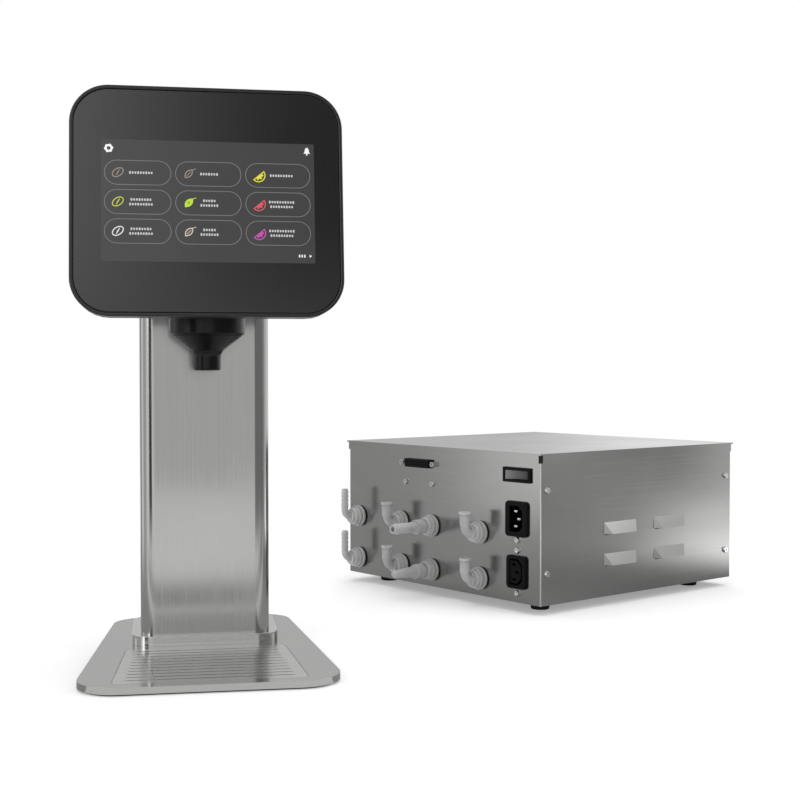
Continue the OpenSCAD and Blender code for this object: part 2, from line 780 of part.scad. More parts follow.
module louvre_panel() color("#adadad") louvre_side() side_sheet();
module far_panel() color("#adadad") far_side() side_sheet();

module lid_screw_places() for (s = [-1, 1]) box_place()
    translate([(s * lid_screw_du - box_w) / 2, box_d + lid_over, rubber_h + box_h - lid_flange / 2])
        rotate([-90, 0, 0]) children();

// Shallow pan lid, its flanges open at the corners
module lid() color("#b6b6b6") difference() {
    box_place() translate([-box_w - lid_over, -lid_over, rubber_h + wall_h]) {
        long = box_w + 2 * lid_over;
        deep = box_d + 2 * lid_over;
        cube([long, deep, sheet_t]);
        translate([0, 0, sheet_t - lid_flange]) {
            for (y = [0, deep - sheet_t]) translate([lid_notch, y, 0])
                cube([long - 2 * lid_notch, sheet_t, lid_flange]);
            for (x = [0, long - sheet_t]) translate([x, lid_notch, 0])
                cube([sheet_t, deep - 2 * lid_notch, lid_flange]);
        }
    }
    lid_screw_places() cylinder(r = small_screw_r + hole_gap, h = 2 * (sheet_t + lid_gap / 2), center = true);
}

module rubber_feet() color("#151515") feet_places() difference() {
    cylinder(r1 = rubber_r - rubber_taper, r2 = rubber_r, h = rubber_h);
    translate([0, 0, -past]) {
        cylinder(r = recess_r, h = recess_h + past);
        cylinder(r = small_screw_r + hole_gap, h = rubber_h + 2 * past);
    }
}

module rubber_foot_screws() color("#8d8d8d") feet_places() translate([0, 0, recess_h]) rotate([180, 0, 0])
    pan_screw(small_screw_r, rubber_h - recess_h + sheet_t + screw_grip / 2, small_head_r, small_head_h);

module panel_screws() color("#d0d0d0") {
    louvre_side() edge_screw_places() pan_screw(small_screw_r, screw_grip, small_head_r, small_head_h);
    far_side() edge_screw_places() pan_screw(small_screw_r, screw_grip, small_head_r, small_head_h);
    lid_screw_places() pan_screw(small_screw_r, screw_grip, small_head_r, small_head_h);
}

rocker_l = 27;
rocker_side = 3;
rocker_h = switch_h - 2 * rocker_side;
rocker_half = rocker_swing / 2;
rocker_dip = rocker_l / 2 * tan(rocker_half);
pivot_in = 4;
pivot_r = 1.5;
trunnion = 1.2;
rocker_foot = 2;
rocker_sweep = norm([rocker_l / 2, pivot_in + rocker_dip]) + gap;
switch_floor = pivot_in + rocker_foot + rocker_dip + 2 * gap;
switch_depth = 20;
bezel_t = 2;

// Switch housing with a bezel, a well for the rocker and two pivot holes
module switch_body() color("#101010") panel_at(mains_u, switch_z) difference() {
    union() {
        slab(rect_corners(switch_w, switch_h, cut_r), 0, bezel_t);
        slab(rect_corners(switch_w - 2 * switch_lip - gap, switch_h - switch_lip - gap, cut_r),
            -switch_depth, switch_depth + bezel_t / 2);
    }
    translate([-rocker_sweep, -rocker_h / 2 - gap, -switch_floor])
        cube([2 * rocker_sweep, rocker_h + 2 * gap, switch_floor + bezel_t + past]);
    translate([0, 0, -pivot_in]) rotate([90, 0, 0])
        cylinder(r = pivot_r + slip, h = rocker_h + 2 * (gap + trunnion), center = true);
}

// Rocker with two faces at a shallow angle, pressed in at the corner side
module rocker() color("#2b2b2b") panel_at(mains_u, switch_z) translate([0, 0, -pivot_in])
    rotate([0, rocker_half, 0]) rotate([90, 0, 0]) {
        linear_extrude(rocker_h, center = true) polygon([
            [-rocker_l / 2, -rocker_foot], [rocker_l / 2, -rocker_foot],
            [rocker_l / 2, pivot_in + rocker_dip], [0, pivot_in], [-rocker_l / 2, pivot_in + rocker_dip]
        ]);
        cylinder(r = pivot_r, h = rocker_h + 2 * trunnion, center = true);
    }

well_w = 16.6;
well_h = 24.4;
well_d = 17;
well_chamfer = 5;
well_wall = 2;
pin_w = 4;
pin_t = 2;
pin_dz = 14;
pin_shift = 2;
pin_l = 15;

// Outline of a three-pin socket, its chamfers towards the corner of the box
module socket_outline(w, h, chamfer) polygon([
    [-w / 2, -h / 2], [w / 2 - chamfer, -h / 2], [w / 2, chamfer - h / 2],
    [w / 2, h / 2 - chamfer], [w / 2 - chamfer, h / 2], [-w / 2, h / 2]
]);

// Socket housing: a bezel through the panel and a screwed tongue behind it
module socket_housing(w, h, depth) {
    slab(rect_corners(w, h, socket_corner_r), -sheet_t - tongue_t, socket_out + sheet_t + tongue_t);
    slab(rect_corners(tongue_w, tongue_h, cut_r), -sheet_t - tongue_t, tongue_t);
    translate([-w / 2 + well_wall, -h / 2 + well_wall, socket_out - depth])
        cube([w - 2 * well_wall, h - 2 * well_wall, depth - socket_out]);
}

module tongue_holes() for (s = [-1, 1]) translate([0, s * socket_screw_dz / 2, -sheet_t - tongue_t - past])
    cylinder(r = small_screw_r + slip, h = tongue_t + 2 * past);

module mains_inlet() color("#0e0e0e") panel_at(mains_u, inlet_z) difference() {
    socket_housing(inlet_w, inlet_h, well_d + well_wall);
    translate([0, 0, socket_out - well_d]) linear_extrude(well_d + past)
        socket_outline(well_w, well_h, well_chamfer);
    tongue_holes();
}

// The middle blade stands to the corner side of the other two
function blade_x(i) = i == 0 ? pin_shift : -pin_shift;

module inlet_pins() color("#c9c9c9") panel_at(mains_u, inlet_z) for (i = [-1, 0, 1])
    translate([blade_x(i) - pin_w / 2, i * pin_dz / 2 - pin_t / 2, socket_out - well_d])
        cube([pin_w, pin_t, pin_l]);

island_w = 13.6;
island_h = 21;
contact_gap = 0.2;

// Outlet with a groove round an island that has three blade slots
module mains_outlet() color("#0e0e0e") panel_at(mains_u, outlet_z) difference() {
    socket_housing(outlet_w, outlet_h, well_d + well_wall);
    translate([0, 0, socket_out - well_d]) linear_extrude(well_d + past) difference() {
        socket_outline(well_w, well_h, well_chamfer);
        socket_outline(island_w, island_h, well_chamfer);
    }
    for (i = [-1, 0, 1])
        translate([blade_x(i) - pin_w / 2 - contact_gap, i * pin_dz / 2 - pin_t / 2 - contact_gap,
                socket_out - pin_l])
            cube([pin_w + 2 * contact_gap, pin_t + 2 * contact_gap, pin_l + past]);
    tongue_holes();
}

module socket_screws() color("#d0d0d0") socket_screw_places()
    pan_screw(small_screw_r, sheet_t + tongue_t, small_head_r, small_head_h);

contact_rows = [13, 12];
contact_pitch = 2.77;
contact_row_dz = 2.84;
contact_r = 0.6;
contact_depth = 3;

// Data connector: a slanted front with two rows of contact holes and a flanged body behind the panel
module data_connector() color("#121212") panel_at(data_u, data_z) difference() {
    union() {
        translate([0, 0, -sheet_t - past]) linear_extrude(sheet_t + past + data_out) polygon([
            [data_slant - data_w / 2, -data_h / 2], [data_w / 2 - data_slant, -data_h / 2],
            [data_w / 2, data_h / 2], [-data_w / 2, data_h / 2]
        ]);
        translate([-data_body_w / 2, -data_body_h / 2, -sheet_t - data_body_d])
            cube([data_body_w, data_body_h, data_body_d]);
    }
    for (row = [0, 1], i = [0 : contact_rows[row] - 1])
        translate([(i - (contact_rows[row] - 1) / 2) * contact_pitch, (0.5 - row) * contact_row_dz,
                data_out - contact_depth])
            cylinder(r = contact_r, h = contact_depth + past);
    for (s = [-1, 1]) translate([s * jack_du / 2, 0, -sheet_t - data_body_d - past])
        cylinder(r = small_screw_r + slip, h = data_body_d + 2 * past);
}

jack_r = 2.8;
jack_out = 4.5;

module jackscrews() color("#d0d0d0") jack_places() difference() {
    union() {
        cylinder(r = jack_r, h = jack_out, $fn = 6);
        translate([0, 0, -sheet_t - data_body_d])
            cylinder(r = small_screw_r, h = sheet_t + data_body_d + past);
    }
    translate([0, 0, past]) cylinder(r = jack_r / 2, h = jack_out);
}

board_shelf_z = data_z - data_body_h / 2 - board_t - sheet_t;
board_shelf_w = 96;
board_shelf_d = 72;
leg_below = 6;

// Angle behind the panel that carries the pump board
module board_bracket() color("#a0a0a0") difference() {
    box_place() translate([-data_u - board_shelf_w / 2, sheet_t, rubber_h]) {
        translate([0, 0, bracket_screw_z - leg_below])
            cube([board_shelf_w, sheet_t, board_shelf_z + sheet_t - bracket_screw_z + leg_below]);
        translate([0, 0, board_shelf_z]) cube([board_shelf_w, board_shelf_d, sheet_t]);
    }
    bracket_screw_places() translate([0, 0, -2 * sheet_t - past])
        cylinder(r = small_screw_r + slip, h = sheet_t + past);
}

board_clear = 2;
chip_size = [22, 16, 6];

module pump_board() color("#1f5b34") box_place()
    translate([-data_u, sheet_t + board_clear, rubber_h + board_shelf_z + sheet_t]) {
        translate([-board_shelf_w / 2, 0, 0]) cube([board_shelf_w, board_shelf_d - 2 * board_clear, board_t]);
        for (s = [-1, 1])
            translate([s * board_shelf_w / 4 - chip_size[0] / 2, board_shelf_d / 2, board_t / 2])
                cube(chip_size);
    }

module bracket_screws() color("#d0d0d0") bracket_screw_places()
    pan_screw(small_screw_r, 2 * sheet_t + board_clear, small_head_r, small_head_h);

washer_t = 1.5;
ring_t = 2.4;
ring_gap = 1.1;
ring_step = 1.2;
mouth = washer_t + 3 * ring_t + 2 * ring_gap + ring_gap;
nut_out_r = 12.5;
nut_in_t = 6;
shank_past = 4;
shank_in = sheet_t + nut_in_t + shank_past;
tail_r = 4.5;
tail_in = 24;
flow_r = 2.4;
stem_in = 6;

module bulkhead_places() for (u = fit_us, z = fit_zs) panel_at(u, z) children();

// Ringed bulkhead body through the panel: a socket for a stem outside, a hose tail inside
module bulkhead_bodies() color("#c4c4c4") bulkhead_places() difference() {
    union() {
        for (i = [0 : 2]) translate([0, 0, washer_t + i * (ring_t + ring_gap)])
            cylinder(r = flange_r - i * ring_step, h = ring_t);
        translate([0, 0, -shank_in]) cylinder(r = bulk_r, h = shank_in + mouth);
        translate([0, 0, -tail_in]) cylinder(r = tail_r, h = tail_in);
    }
    translate([0, 0, -stem_in - gap]) cylinder(r = stem_r + slip, h = stem_in + mouth + past);
    translate([0, 0, -tail_in - past]) cylinder(r = flow_r, h = tail_in + past);
}

module bulkhead_seals() color("#2a2a2a") bulkhead_places() difference() {
    cylinder(r = flange_r - ring_step / 2, h = washer_t);
    translate([0, 0, -past]) cylinder(r = bulk_r + hole_gap, h = washer_t + 2 * past);
}

module bulkhead_nuts() color("#bdbdbd") bulkhead_places()
    translate([0, 0, -sheet_t - nut_in_t]) difference() {
        cylinder(r = nut_out_r, h = nut_in_t, $fn = 6);
        translate([0, 0, -past]) cylinder(r = bulk_r + slip, h = nut_in_t + 2 * past);
    }

elbow_neck_r = 6.4;
elbow_neck_h = 1.6;
bend = 7.5;
collet_wall = 0.8;
collet_in = 6.5;
collet_lip_r = 5.9;
collet_lip_t = 2;
elbow_foot = mouth + gap;

// Straight run from z0 out of the panel and a quarter bend up into the leg, of radius r
module elbow_run(r, z0) {
    translate([0, 0, z0]) cylinder(r = r, h = leg_out - bend - z0);
    translate([0, bend, leg_out - bend]) rotate([90, 0, -90]) rotate_extrude(angle = 90)
        translate([bend, 0]) circle(r);
}

// Swivel stem with a neck that meets the mouth of the bulkhead
module swivel_stem() {
    translate([0, 0, -stem_in]) cylinder(r = stem_r, h = stem_in + elbow_foot + elbow_neck_h / 2);
    translate([0, 0, elbow_foot]) cylinder(r = elbow_neck_r, h = elbow_neck_h);
}

// Frame along an elbow's leg: z up the leg from the stem axis
module leg_place() translate([0, 0, leg_out]) rotate([-90, 0, 0]) children();

module push_elbow(i) color("#cfcfcf") push_place(i) difference() {
    union() {
        swivel_stem();
        elbow_run(leg_r, elbow_foot);
        leg_place() translate([0, 0, bend]) cylinder(r = barrel_r, h = leg_h - bend);
    }
    elbow_run(flow_r, -stem_in - past);
    leg_place() {
        translate([0, 0, bend]) cylinder(r = flow_r, h = leg_h);
        translate([0, 0, leg_h - collet_in - collet_travel - gap])
            cylinder(r = port_r + collet_wall + slip, h = leg_h);
    }
}

// Release collet in the end of a push-in elbow
module collet(i) color("#dedede") push_place(i) leg_place() difference() {
    union() {
        translate([0, 0, leg_h - collet_in])
            cylinder(r = port_r + collet_wall, h = collet_in + collet_travel + gap + collet_lip_t / 2);
        translate([0, 0, leg_h + collet_travel + gap]) cylinder(r = collet_lip_r, h = collet_lip_t);
    }
    cylinder(r = port_r, h = 2 * leg_h);
}

// Push-in elbows in the first and third column, upper row first
module push_place(i) panel_at(fit_us[i % 2 * 2], fit_zs[floor(i / 2)]) children();
module barb_place(i) panel_at(fit_us[3], fit_zs[i]) children();

barb_rise = 0.6;
barb_pitch = 4.4;

// Hose tail of radius r along z from z0 to z1, its last stretch a row of barbs
module barbs(r, z0, z1, pitch) {
    first = z1 - barb_count * pitch;
    translate([0, 0, z0]) cylinder(r = r - barb_rise, h = z1 - z0);
    for (i = [0 : barb_count - 1]) translate([0, 0, first + i * pitch])
        cylinder(r1 = r + barb_rise, r2 = r - barb_rise, h = pitch);
}

module barb_elbow(i) color("#cfcfcf") barb_place(i) difference() {
    union() {
        swivel_stem();
        elbow_run(barb_r, elbow_foot);
        leg_place() {
            translate([0, 0, bend]) cylinder(r = barb_r, h = barb_h - bend - barb_count * barb_pitch);
            barbs(barb_r, bend + past, barb_h, barb_pitch);
        }
    }
    elbow_run(flow_r, -stem_in - past);
    leg_place() translate([0, 0, bend]) cylinder(r = flow_r, h = barb_h);
}

stub_neck_h = 2.5;
stub_collar_r = 7.2;
stub_collar_h = 9;
stub_r = 5;
stub_pitch = 6;

// Stem, a short neck past the mouth of the bulkhead and a collar
module stub_root() {
    translate([0, 0, -stem_in]) cylinder(r = stem_r, h = stem_in + mouth + stub_neck_h + past);
    translate([0, 0, mouth + stub_neck_h]) cylinder(r = stub_collar_r, h = stub_collar_h);
}

module straight_barb() color("#cfcfcf") panel_at(fit_us[1], fit_zs[0]) difference() {
    union() {
        stub_root();
        barbs(stub_r, mouth + stub_neck_h + past, stub_reach, stub_pitch);
    }
    translate([0, 0, -stem_in - past]) cylinder(r = flow_r, h = stub_reach + stem_in + 2 * past);
}

plug_root_r = 6;
plug_tip_r = 3.9;

// Smooth plug that closes an unused line
module tapered_plug() color("#cfcfcf") panel_at(fit_us[1], fit_zs[1]) {
    stub_root();
    plug_foot = mouth + stub_neck_h + stub_collar_h / 2;
    plug_end = stub_reach - plug_tip_r;
    translate([0, 0, plug_foot]) cylinder(r1 = plug_root_r, r2 = plug_tip_r, h = plug_end - plug_foot);
    translate([0, 0, plug_end]) sphere(plug_tip_r);
}

pump_w = 42;
pump_side = 4;
pump_in = 46;
pump_deep = 30;
pump_above = 11;
port_l = 8;
motor_r = 18;
motor_l = 62;
floor_top = rubber_h + sheet_t;
pump_h = rubber_h + fit_z + fit_dz + pump_above - floor_top;

// The last pump stands clear of the far side panel
module pump_places() box_place() for (u = fit_us)
    translate([-min(u, box_w - pump_side - pump_w / 2), pump_in, 0]) children();

// Pump heads that stand on the floor, each with two ports in line with its bulkheads
module pump_heads() color("#3c3c3c") {
    pump_places() translate([-pump_w / 2, 0, floor_top]) cube([pump_w, pump_deep, pump_h]);
    bulkhead_places() translate([0, 0, -pump_in - past]) cylinder(r = tail_r, h = port_l + past);
}

module pump_motors() color("#8a8a8a") pump_places()
    translate([0, pump_deep, rubber_h + fit_z + fit_dz / 2]) rotate([-90, 0, 0])
        cylinder(r = motor_r, h = motor_l);

module pump_tubes() color("#d9dde0") bulkhead_places() translate([0, 0, port_l - pump_in]) difference() {
    cylinder(r = tail_r, h = pump_in - port_l - tail_in);
    translate([0, 0, -past]) cylinder(r = flow_r, h = pump_in - port_l - tail_in + 2 * past);
}

supply_size = [150, 90, 40];
supply_in = 24;

module power_supply() color("#b8b8b8") box_place()
    translate([-(box_w + supply_size[0]) / 2, box_d - supply_in - supply_size[1], floor_top])
        cube(supply_size);

base_plate();
base_pad();
drip_plate();
column_foot();
foot_screws();
column();
column_cap();
head_bracket();
bracket_bolts();
head_frame();
head_rear_cover();
cover_screws();
cover_glass();
glass_seal();
display_module();
control_board();
injector_block();
riser_tubes();
nozzle_collar();
nozzle_spout();
nozzle_o_ring();
floor_pan();
connection_panel();
rear_panel();
louvre_panel();
far_panel();
lid();
rubber_feet();
rubber_foot_screws();
panel_screws();
switch_body();
rocker();
mains_inlet();
inlet_pins();
mains_outlet();
socket_screws();
data_connector();
jackscrews();
board_bracket();
pump_board();
bracket_screws();
bulkhead_bodies();
bulkhead_seals();
bulkhead_nuts();
push_elbow(0);  // push_elbow_1
push_elbow(1);  // push_elbow_2
push_elbow(2);  // push_elbow_3
push_elbow(3);  // push_elbow_4
collet(0);  // collet_1
collet(1);  // collet_2
collet(2);  // collet_3
collet(3);  // collet_4
barb_elbow(0);  // barb_elbow_1
barb_elbow(1);  // barb_elbow_2
straight_barb();
tapered_plug();
pump_heads();
pump_motors();
pump_tubes();
power_supply();
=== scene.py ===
import bmesh
import bpy
import json
from math import radians
from mathutils import Matrix, Vector

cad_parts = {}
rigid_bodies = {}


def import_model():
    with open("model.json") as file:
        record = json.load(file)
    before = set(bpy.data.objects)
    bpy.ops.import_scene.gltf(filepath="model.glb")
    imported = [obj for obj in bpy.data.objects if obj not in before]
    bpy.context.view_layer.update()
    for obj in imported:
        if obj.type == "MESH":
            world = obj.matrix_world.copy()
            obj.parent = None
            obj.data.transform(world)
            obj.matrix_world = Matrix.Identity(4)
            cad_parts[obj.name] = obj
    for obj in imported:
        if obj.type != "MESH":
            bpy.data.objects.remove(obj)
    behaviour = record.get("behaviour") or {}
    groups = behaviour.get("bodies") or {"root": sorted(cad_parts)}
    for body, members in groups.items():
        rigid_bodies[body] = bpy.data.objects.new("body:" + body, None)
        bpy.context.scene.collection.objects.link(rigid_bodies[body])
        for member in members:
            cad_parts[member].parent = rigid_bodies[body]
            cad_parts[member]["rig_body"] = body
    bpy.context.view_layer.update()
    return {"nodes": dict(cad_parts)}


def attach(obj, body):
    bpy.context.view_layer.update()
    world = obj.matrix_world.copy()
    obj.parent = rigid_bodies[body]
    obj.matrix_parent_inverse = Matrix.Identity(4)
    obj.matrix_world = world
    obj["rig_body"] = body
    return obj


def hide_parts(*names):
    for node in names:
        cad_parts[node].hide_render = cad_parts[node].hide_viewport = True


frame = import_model()

# Studio: a plain pale floor, a white surround and four large soft lamps.
# The camera stands a little above the middle of the tap tower, in front of it.
scene = bpy.context.scene
scene.view_settings.view_transform = "Standard"


def stand(name, data, place, turn=(0, 0, 0)):
    """Puts a camera, a lamp or a card in the scene, turned by so many degrees."""
    thing = bpy.data.objects.new(name, data)
    thing.location = place
    thing.rotation_euler = [radians(a) for a in turn]
    scene.collection.objects.link(thing)
    return thing


def facing(place, aim, front):
    """The turn that points an object's front axis at its aim."""
    return (Vector(aim) - Vector(place)).to_track_quat(front, "Y").to_euler()


camera_place, look_down, look_right = (-0.0316, -1.1498, 0.2323), 1.564, 9.725
lens = bpy.data.cameras.new("camera")
lens.lens = 61.8
lens.clip_start = 0.01
scene.camera = stand("camera", lens, camera_place, (90 - look_down, 0, -look_right))

for name, place, aim, size, watts in (
    ("lamp_left", (-1.35, -1.15, 1.05), (0.1, 0.0, 0.15), (0.9, 1.5), 10),
    ("lamp_right", (1.5, -0.75, 0.95), (0.25, 0.05, 0.1), (0.8, 1.2), 6),
    ("lamp_top", (0.25, 0.15, 1.75), (0.25, 0.1, 0.0), (1.6, 1.6), 12),
    ("lamp_back", (0.3, 1.6, 1.1), (0.2, 0.1, 0.15), (1.6, 0.9), 6),
):
    lamp = bpy.data.lights.new(name, "AREA")
    lamp.shape = "RECTANGLE"
    lamp.size, lamp.size_y = size
    lamp.energy = watts
    fixed = stand(name, lamp, place)
    fixed.rotation_euler = facing(place, aim, "-Z")
    fixed.visible_glossy = name == "lamp_left"


def wire(tree, kind, settings, **inputs):
    """A node with its settings, each input either a value or a socket to link from."""
    made = tree.nodes.new("ShaderNode" + kind)
    for label, value in settings.items():
        setattr(made, label, value)
    for label, value in inputs.items():
        number = label[1:]
        socket = made.inputs[int(number) if number.isdigit() else label.replace("_", " ")]
        if isinstance(value, bpy.types.NodeSocket):
            tree.links.new(value, socket)
        else:
            socket.default_value = value
    return made


def sums(tree, operation, *values, clamp=False):
    """What a Math node makes of its values."""
    sockets = {f"i{k}": value for k, value in enumerate(values)}
    return wire(tree, "Math", {"operation": operation, "use_clamp": clamp}, **sockets).outputs[0]


def ramp(tree, value, begin, end, low, high, ease="LINEAR"):
    """Goes from low to high while the value goes from begin to end."""
    return wire(tree, "MapRange", {"interpolation_type": ease}, Value=value,
                i1=begin, i2=end, i3=low, i4=high).outputs[0]


def seen_directly(tree):
    """1 for rays of the camera, of reflections and of glass, 0 for light that bounces."""
    path = wire(tree, "LightPath", {})
    ray = sums(tree, "MAXIMUM", path.outputs["Is Camera Ray"], path.outputs["Is Glossy Ray"])
    return sums(tree, "MAXIMUM", ray, path.outputs["Is Transmission Ray"])


ambient, shown_white = 0.45, 1.0
surround = bpy.data.worlds.new("surround")
surround.use_nodes = True
scene.world = surround
tree = surround.node_tree
level = wire(tree, "Mix", {}, Factor=seen_directly(tree), i2=ambient, i3=shown_white)
tree.links.new(level.outputs["Result"], tree.nodes["Background"].inputs["Strength"])
tree.nodes["Background"].inputs["Color"].default_value = (1, 1, 1, 1)


def rectangle(width, height):
    """A flat face, centred on the origin."""
    shape = bmesh.new()
    bmesh.ops.create_grid(shape, x_segments=1, y_segments=1, size=0.5)
    bmesh.ops.scale(shape, vec=(width, height, 1), verts=shape.verts)
    return shape


def flat_sheet(name, width, height, material):
    """A rectangle's mesh for the floor or a card."""
    shape = rectangle(width, height)
    mesh = bpy.data.meshes.new(name)
    shape.to_mesh(mesh)
    shape.free()
    mesh.materials.append(material)
    return mesh


# The floor is white to the eye and fades into the surround further out. In the steel's reflections only,
# it is grey and darker to the right, and glows in bands before the base and to the right: painted
# reflections.
floor_white, camera_lift = (0.86, 0.86, 0.86, 1), 0.3
strip_middle, strip_half, strip_gain = -0.21, 0.04, 0.5
floor_paint = bpy.data.materials.new("floor_paint")
floor_paint.use_nodes = True
tree = floor_paint.node_tree
paint = tree.nodes["Principled BSDF"]
paint.inputs["Roughness"].default_value = 0.9
paint.inputs["Specular IOR Level"].default_value = 0.0
paint.inputs["Emission Color"].default_value = (1, 1, 1, 1)
path = wire(tree, "LightPath", {})
mirrored, by_camera = path.outputs["Is Glossy Ray"], path.outputs["Is Camera Ray"]
spot = wire(tree, "TexCoord", {}).outputs["Object"]
sides = wire(tree, "SeparateXYZ", {}, Vector=spot)
rightward, backward = sides.outputs["X"], sides.outputs["Y"]
mirrored_grey = ramp(tree, rightward, begin=0.1, end=0.35, low=0.4, high=0.24, ease="SMOOTHSTEP")
shade = wire(tree, "Mix", {"data_type": "RGBA"}, i0=mirrored, i6=floor_white, i7=mirrored_grey)
tree.links.new(shade.outputs[2], paint.inputs["Base Color"])
front_sheen = ramp(tree, backward, begin=-0.32, end=-0.46, low=0.05, high=0.62, ease="SMOOTHSTEP")
strip = sums(tree, "COMPARE", backward, strip_middle, strip_half)
front_sheen = sums(tree, "MULTIPLY_ADD", strip, strip_gain, front_sheen)
side_sheen = ramp(tree, rightward, begin=0.4, end=0.68, low=0.0, high=1.25, ease="SMOOTHSTEP")
depth = ramp(tree, backward, begin=0.03, end=0.19, low=0.22, high=1.9)
sheen = sums(tree, "MULTIPLY_ADD", side_sheen, depth, front_sheen)
sheen = sums(tree, "MULTIPLY", sheen, mirrored)
lift = sums(tree, "MULTIPLY_ADD", by_camera, camera_lift, sheen)
tree.links.new(lift, paint.inputs["Emission Strength"])
distance = wire(tree, "VectorMath", {"operation": "LENGTH"}, i0=spot).outputs["Value"]
fade = ramp(tree, distance, begin=0.45, end=1.0, low=1.0, high=0.0, ease="SMOOTHSTEP")
tree.links.new(fade, paint.inputs["Alpha"])
stand("floor", flat_sheet("floor", 2.0, 2.0, floor_paint), (0.2, 0, 0))

# Cards that only the reflections see give the steel and the black face their soft bands.
# Each glows from near to away, between the places begin and end across it.
for name, place, aim, size, near, away, begin, end in (
    ("card_face", (0.075, -0.9, 0.75), (0.075, 0.0, 0.75), (1.05, 0.52), 0.02, 2.1, -0.03, 0.28),
    ("card_front_low", (0.0, -2.2, 0.15), (0.0, 0.0, 0.15), (1.5, 0.44), 0.68, 0.68, -0.7, 0.7),
    ("card_left_low", (-1.1, -1.25, 0.25), (0.0, 0.0, 0.25), (0.6, 0.7), 0.06, 0.06, -0.3, 0.3),
    ("card_left", (-1.3, 0.0, 0.2), (0.0, 0.0, 0.2), (0.8, 1.0), 0.6, 0.6, -0.4, 0.4),
    ("card_left_back", (-0.9, 0.8, 0.3), (0.0, 0.8, 0.3), (1.3, 1.4), 1.05, 0.45, -0.38, -0.24),
    ("card_right_low", (0.95, -0.85, 0.2), (0.0, 0.0, 0.2), (1.6, 0.7), 0.25, 0.25, -0.8, 0.8),
    ("card_right", (1.5, 0.0, 0.35), (0.0, 0.0, 0.35), (1.5, 0.7), 0.8, 0.75, -0.4, 0.4),
    ("card_right_strip", (1.45, -0.06, 0.3), (0.0, -0.06, 0.3), (0.22, 0.6), 0.34, 0.28, -0.1, 0.1),
    ("card_right_high", (1.5, 0.0, 1.25), (0.0, 0.0, 1.25), (1.5, 1.1), 1.6, 1.6, -0.7, 0.7),
    ("card_right_floor", (1.44, 0.0, -0.2), (0.0, 0.0, -0.2), (1.4, 0.4), 1.35, 0.3, -0.1, 0.13),
    ("card_back", (0.5, 1.7, 0.3), (0.5, 0.0, 0.3), (2.4, 0.6), 0.6, 0.95, 0.15, 0.5),
    ("card_top", (0.25, 0.4, 1.75), (0.25, 0.4, 0.0), (2.2, 2.0), 0.95, 0.5, -0.5, 0.5),
):
    glow = bpy.data.materials.new(name)
    glow.use_nodes = True
    tree = glow.node_tree
    across = wire(tree, "SeparateXYZ", {}, Vector=wire(tree, "TexCoord", {}).outputs["Object"])
    strength = ramp(tree, across.outputs["X"], begin, end, near, away, "SMOOTHSTEP")
    light = wire(tree, "Emission", {}, Strength=strength)
    tree.links.new(light.outputs[0], tree.nodes["Material Output"].inputs["Surface"])
    card = stand(name, flat_sheet(name, *size, glow), place)
    card.rotation_euler = facing(place, aim, "Z")
    card.visible_camera = card.visible_diffuse = False
    card.visible_transmission = card.visible_shadow = False


# Rubber pad: a die-cut sheet of black rubber under the base plate.
# It is glued to the steel, and its fine grain and a little dust keep it dull.
def shader_group(name, inputs, outputs):
    """An empty node group with its sockets, and the nodes that bring them in and out."""
    group = bpy.data.node_groups.new(name, "ShaderNodeTree")
    for direction, sockets in (("INPUT", inputs), ("OUTPUT", outputs)):
        for label, kind in sockets:
            group.interface.new_socket(label, in_out=direction, socket_type="NodeSocket" + kind)
    return group, group.nodes.new("NodeGroupInput"), group.nodes.new("NodeGroupOutput")


def tinted(tree, colour, factor):
    """The colour times a grey factor."""
    return wire(tree, "Mix", {"data_type": "RGBA", "blend_type": "MULTIPLY"},
                i0=1.0, i6=colour, i7=factor).outputs[2]


# Moulded grain: a fine pebble for the normal, a slow cloud for colour and gloss, paler eased edges
cloud_scale, tone_sway, gloss_sway = 38.0, 0.12, 0.05
moulded, given, out = shader_group(
    "moulded_grain",
    [("Vector", "Vector"), ("Colour", "Color"), ("Roughness", "Float"), ("Grain", "Float"),
     ("Wear", "Float"), ("Cloud", "Float")],
    [("Colour", "Color"), ("Roughness", "Float"), ("Height", "Float")])
pebble = wire(moulded, "TexNoise", {}, Vector=given.outputs["Vector"],
              Scale=given.outputs["Grain"], Detail=3.0)
cloud = wire(moulded, "TexNoise", {}, Vector=given.outputs["Vector"], Scale=cloud_scale, Detail=4.0)
edge = wire(moulded, "Attribute", {"attribute_name": "eased"})
worn = sums(moulded, "MULTIPLY", edge.outputs["Fac"], given.outputs["Wear"])
sway = ramp(moulded, cloud.outputs["Fac"], begin=0.25, end=0.75, low=-1.0, high=1.0)
sway = sums(moulded, "MULTIPLY", sway, given.outputs["Cloud"])
tone = sums(moulded, "MULTIPLY_ADD", sway, tone_sway, 1.0)
tone = sums(moulded, "ADD", tone, worn)
moulded.links.new(tinted(moulded, given.outputs["Colour"], tone), out.inputs["Colour"])
gloss = sums(moulded, "MULTIPLY_ADD", sway, gloss_sway, given.outputs["Roughness"], clamp=True)
moulded.links.new(gloss, out.inputs["Roughness"])
moulded.links.new(pebble.outputs["Fac"], out.inputs["Height"])


def surfaced(tree, look, depth, reach):
    """Feeds a group's colour, roughness and height to the shader of its material."""
    body = tree.nodes["Principled BSDF"]
    bump = wire(tree, "Bump", {}, Strength=depth, Distance=reach, Height=look.outputs["Height"])
    tree.links.new(look.outputs["Colour"], body.inputs["Base Color"])
    tree.links.new(look.outputs["Roughness"], body.inputs["Roughness"])
    tree.links.new(bump.outputs["Normal"], body.inputs["Normal"])
    return body


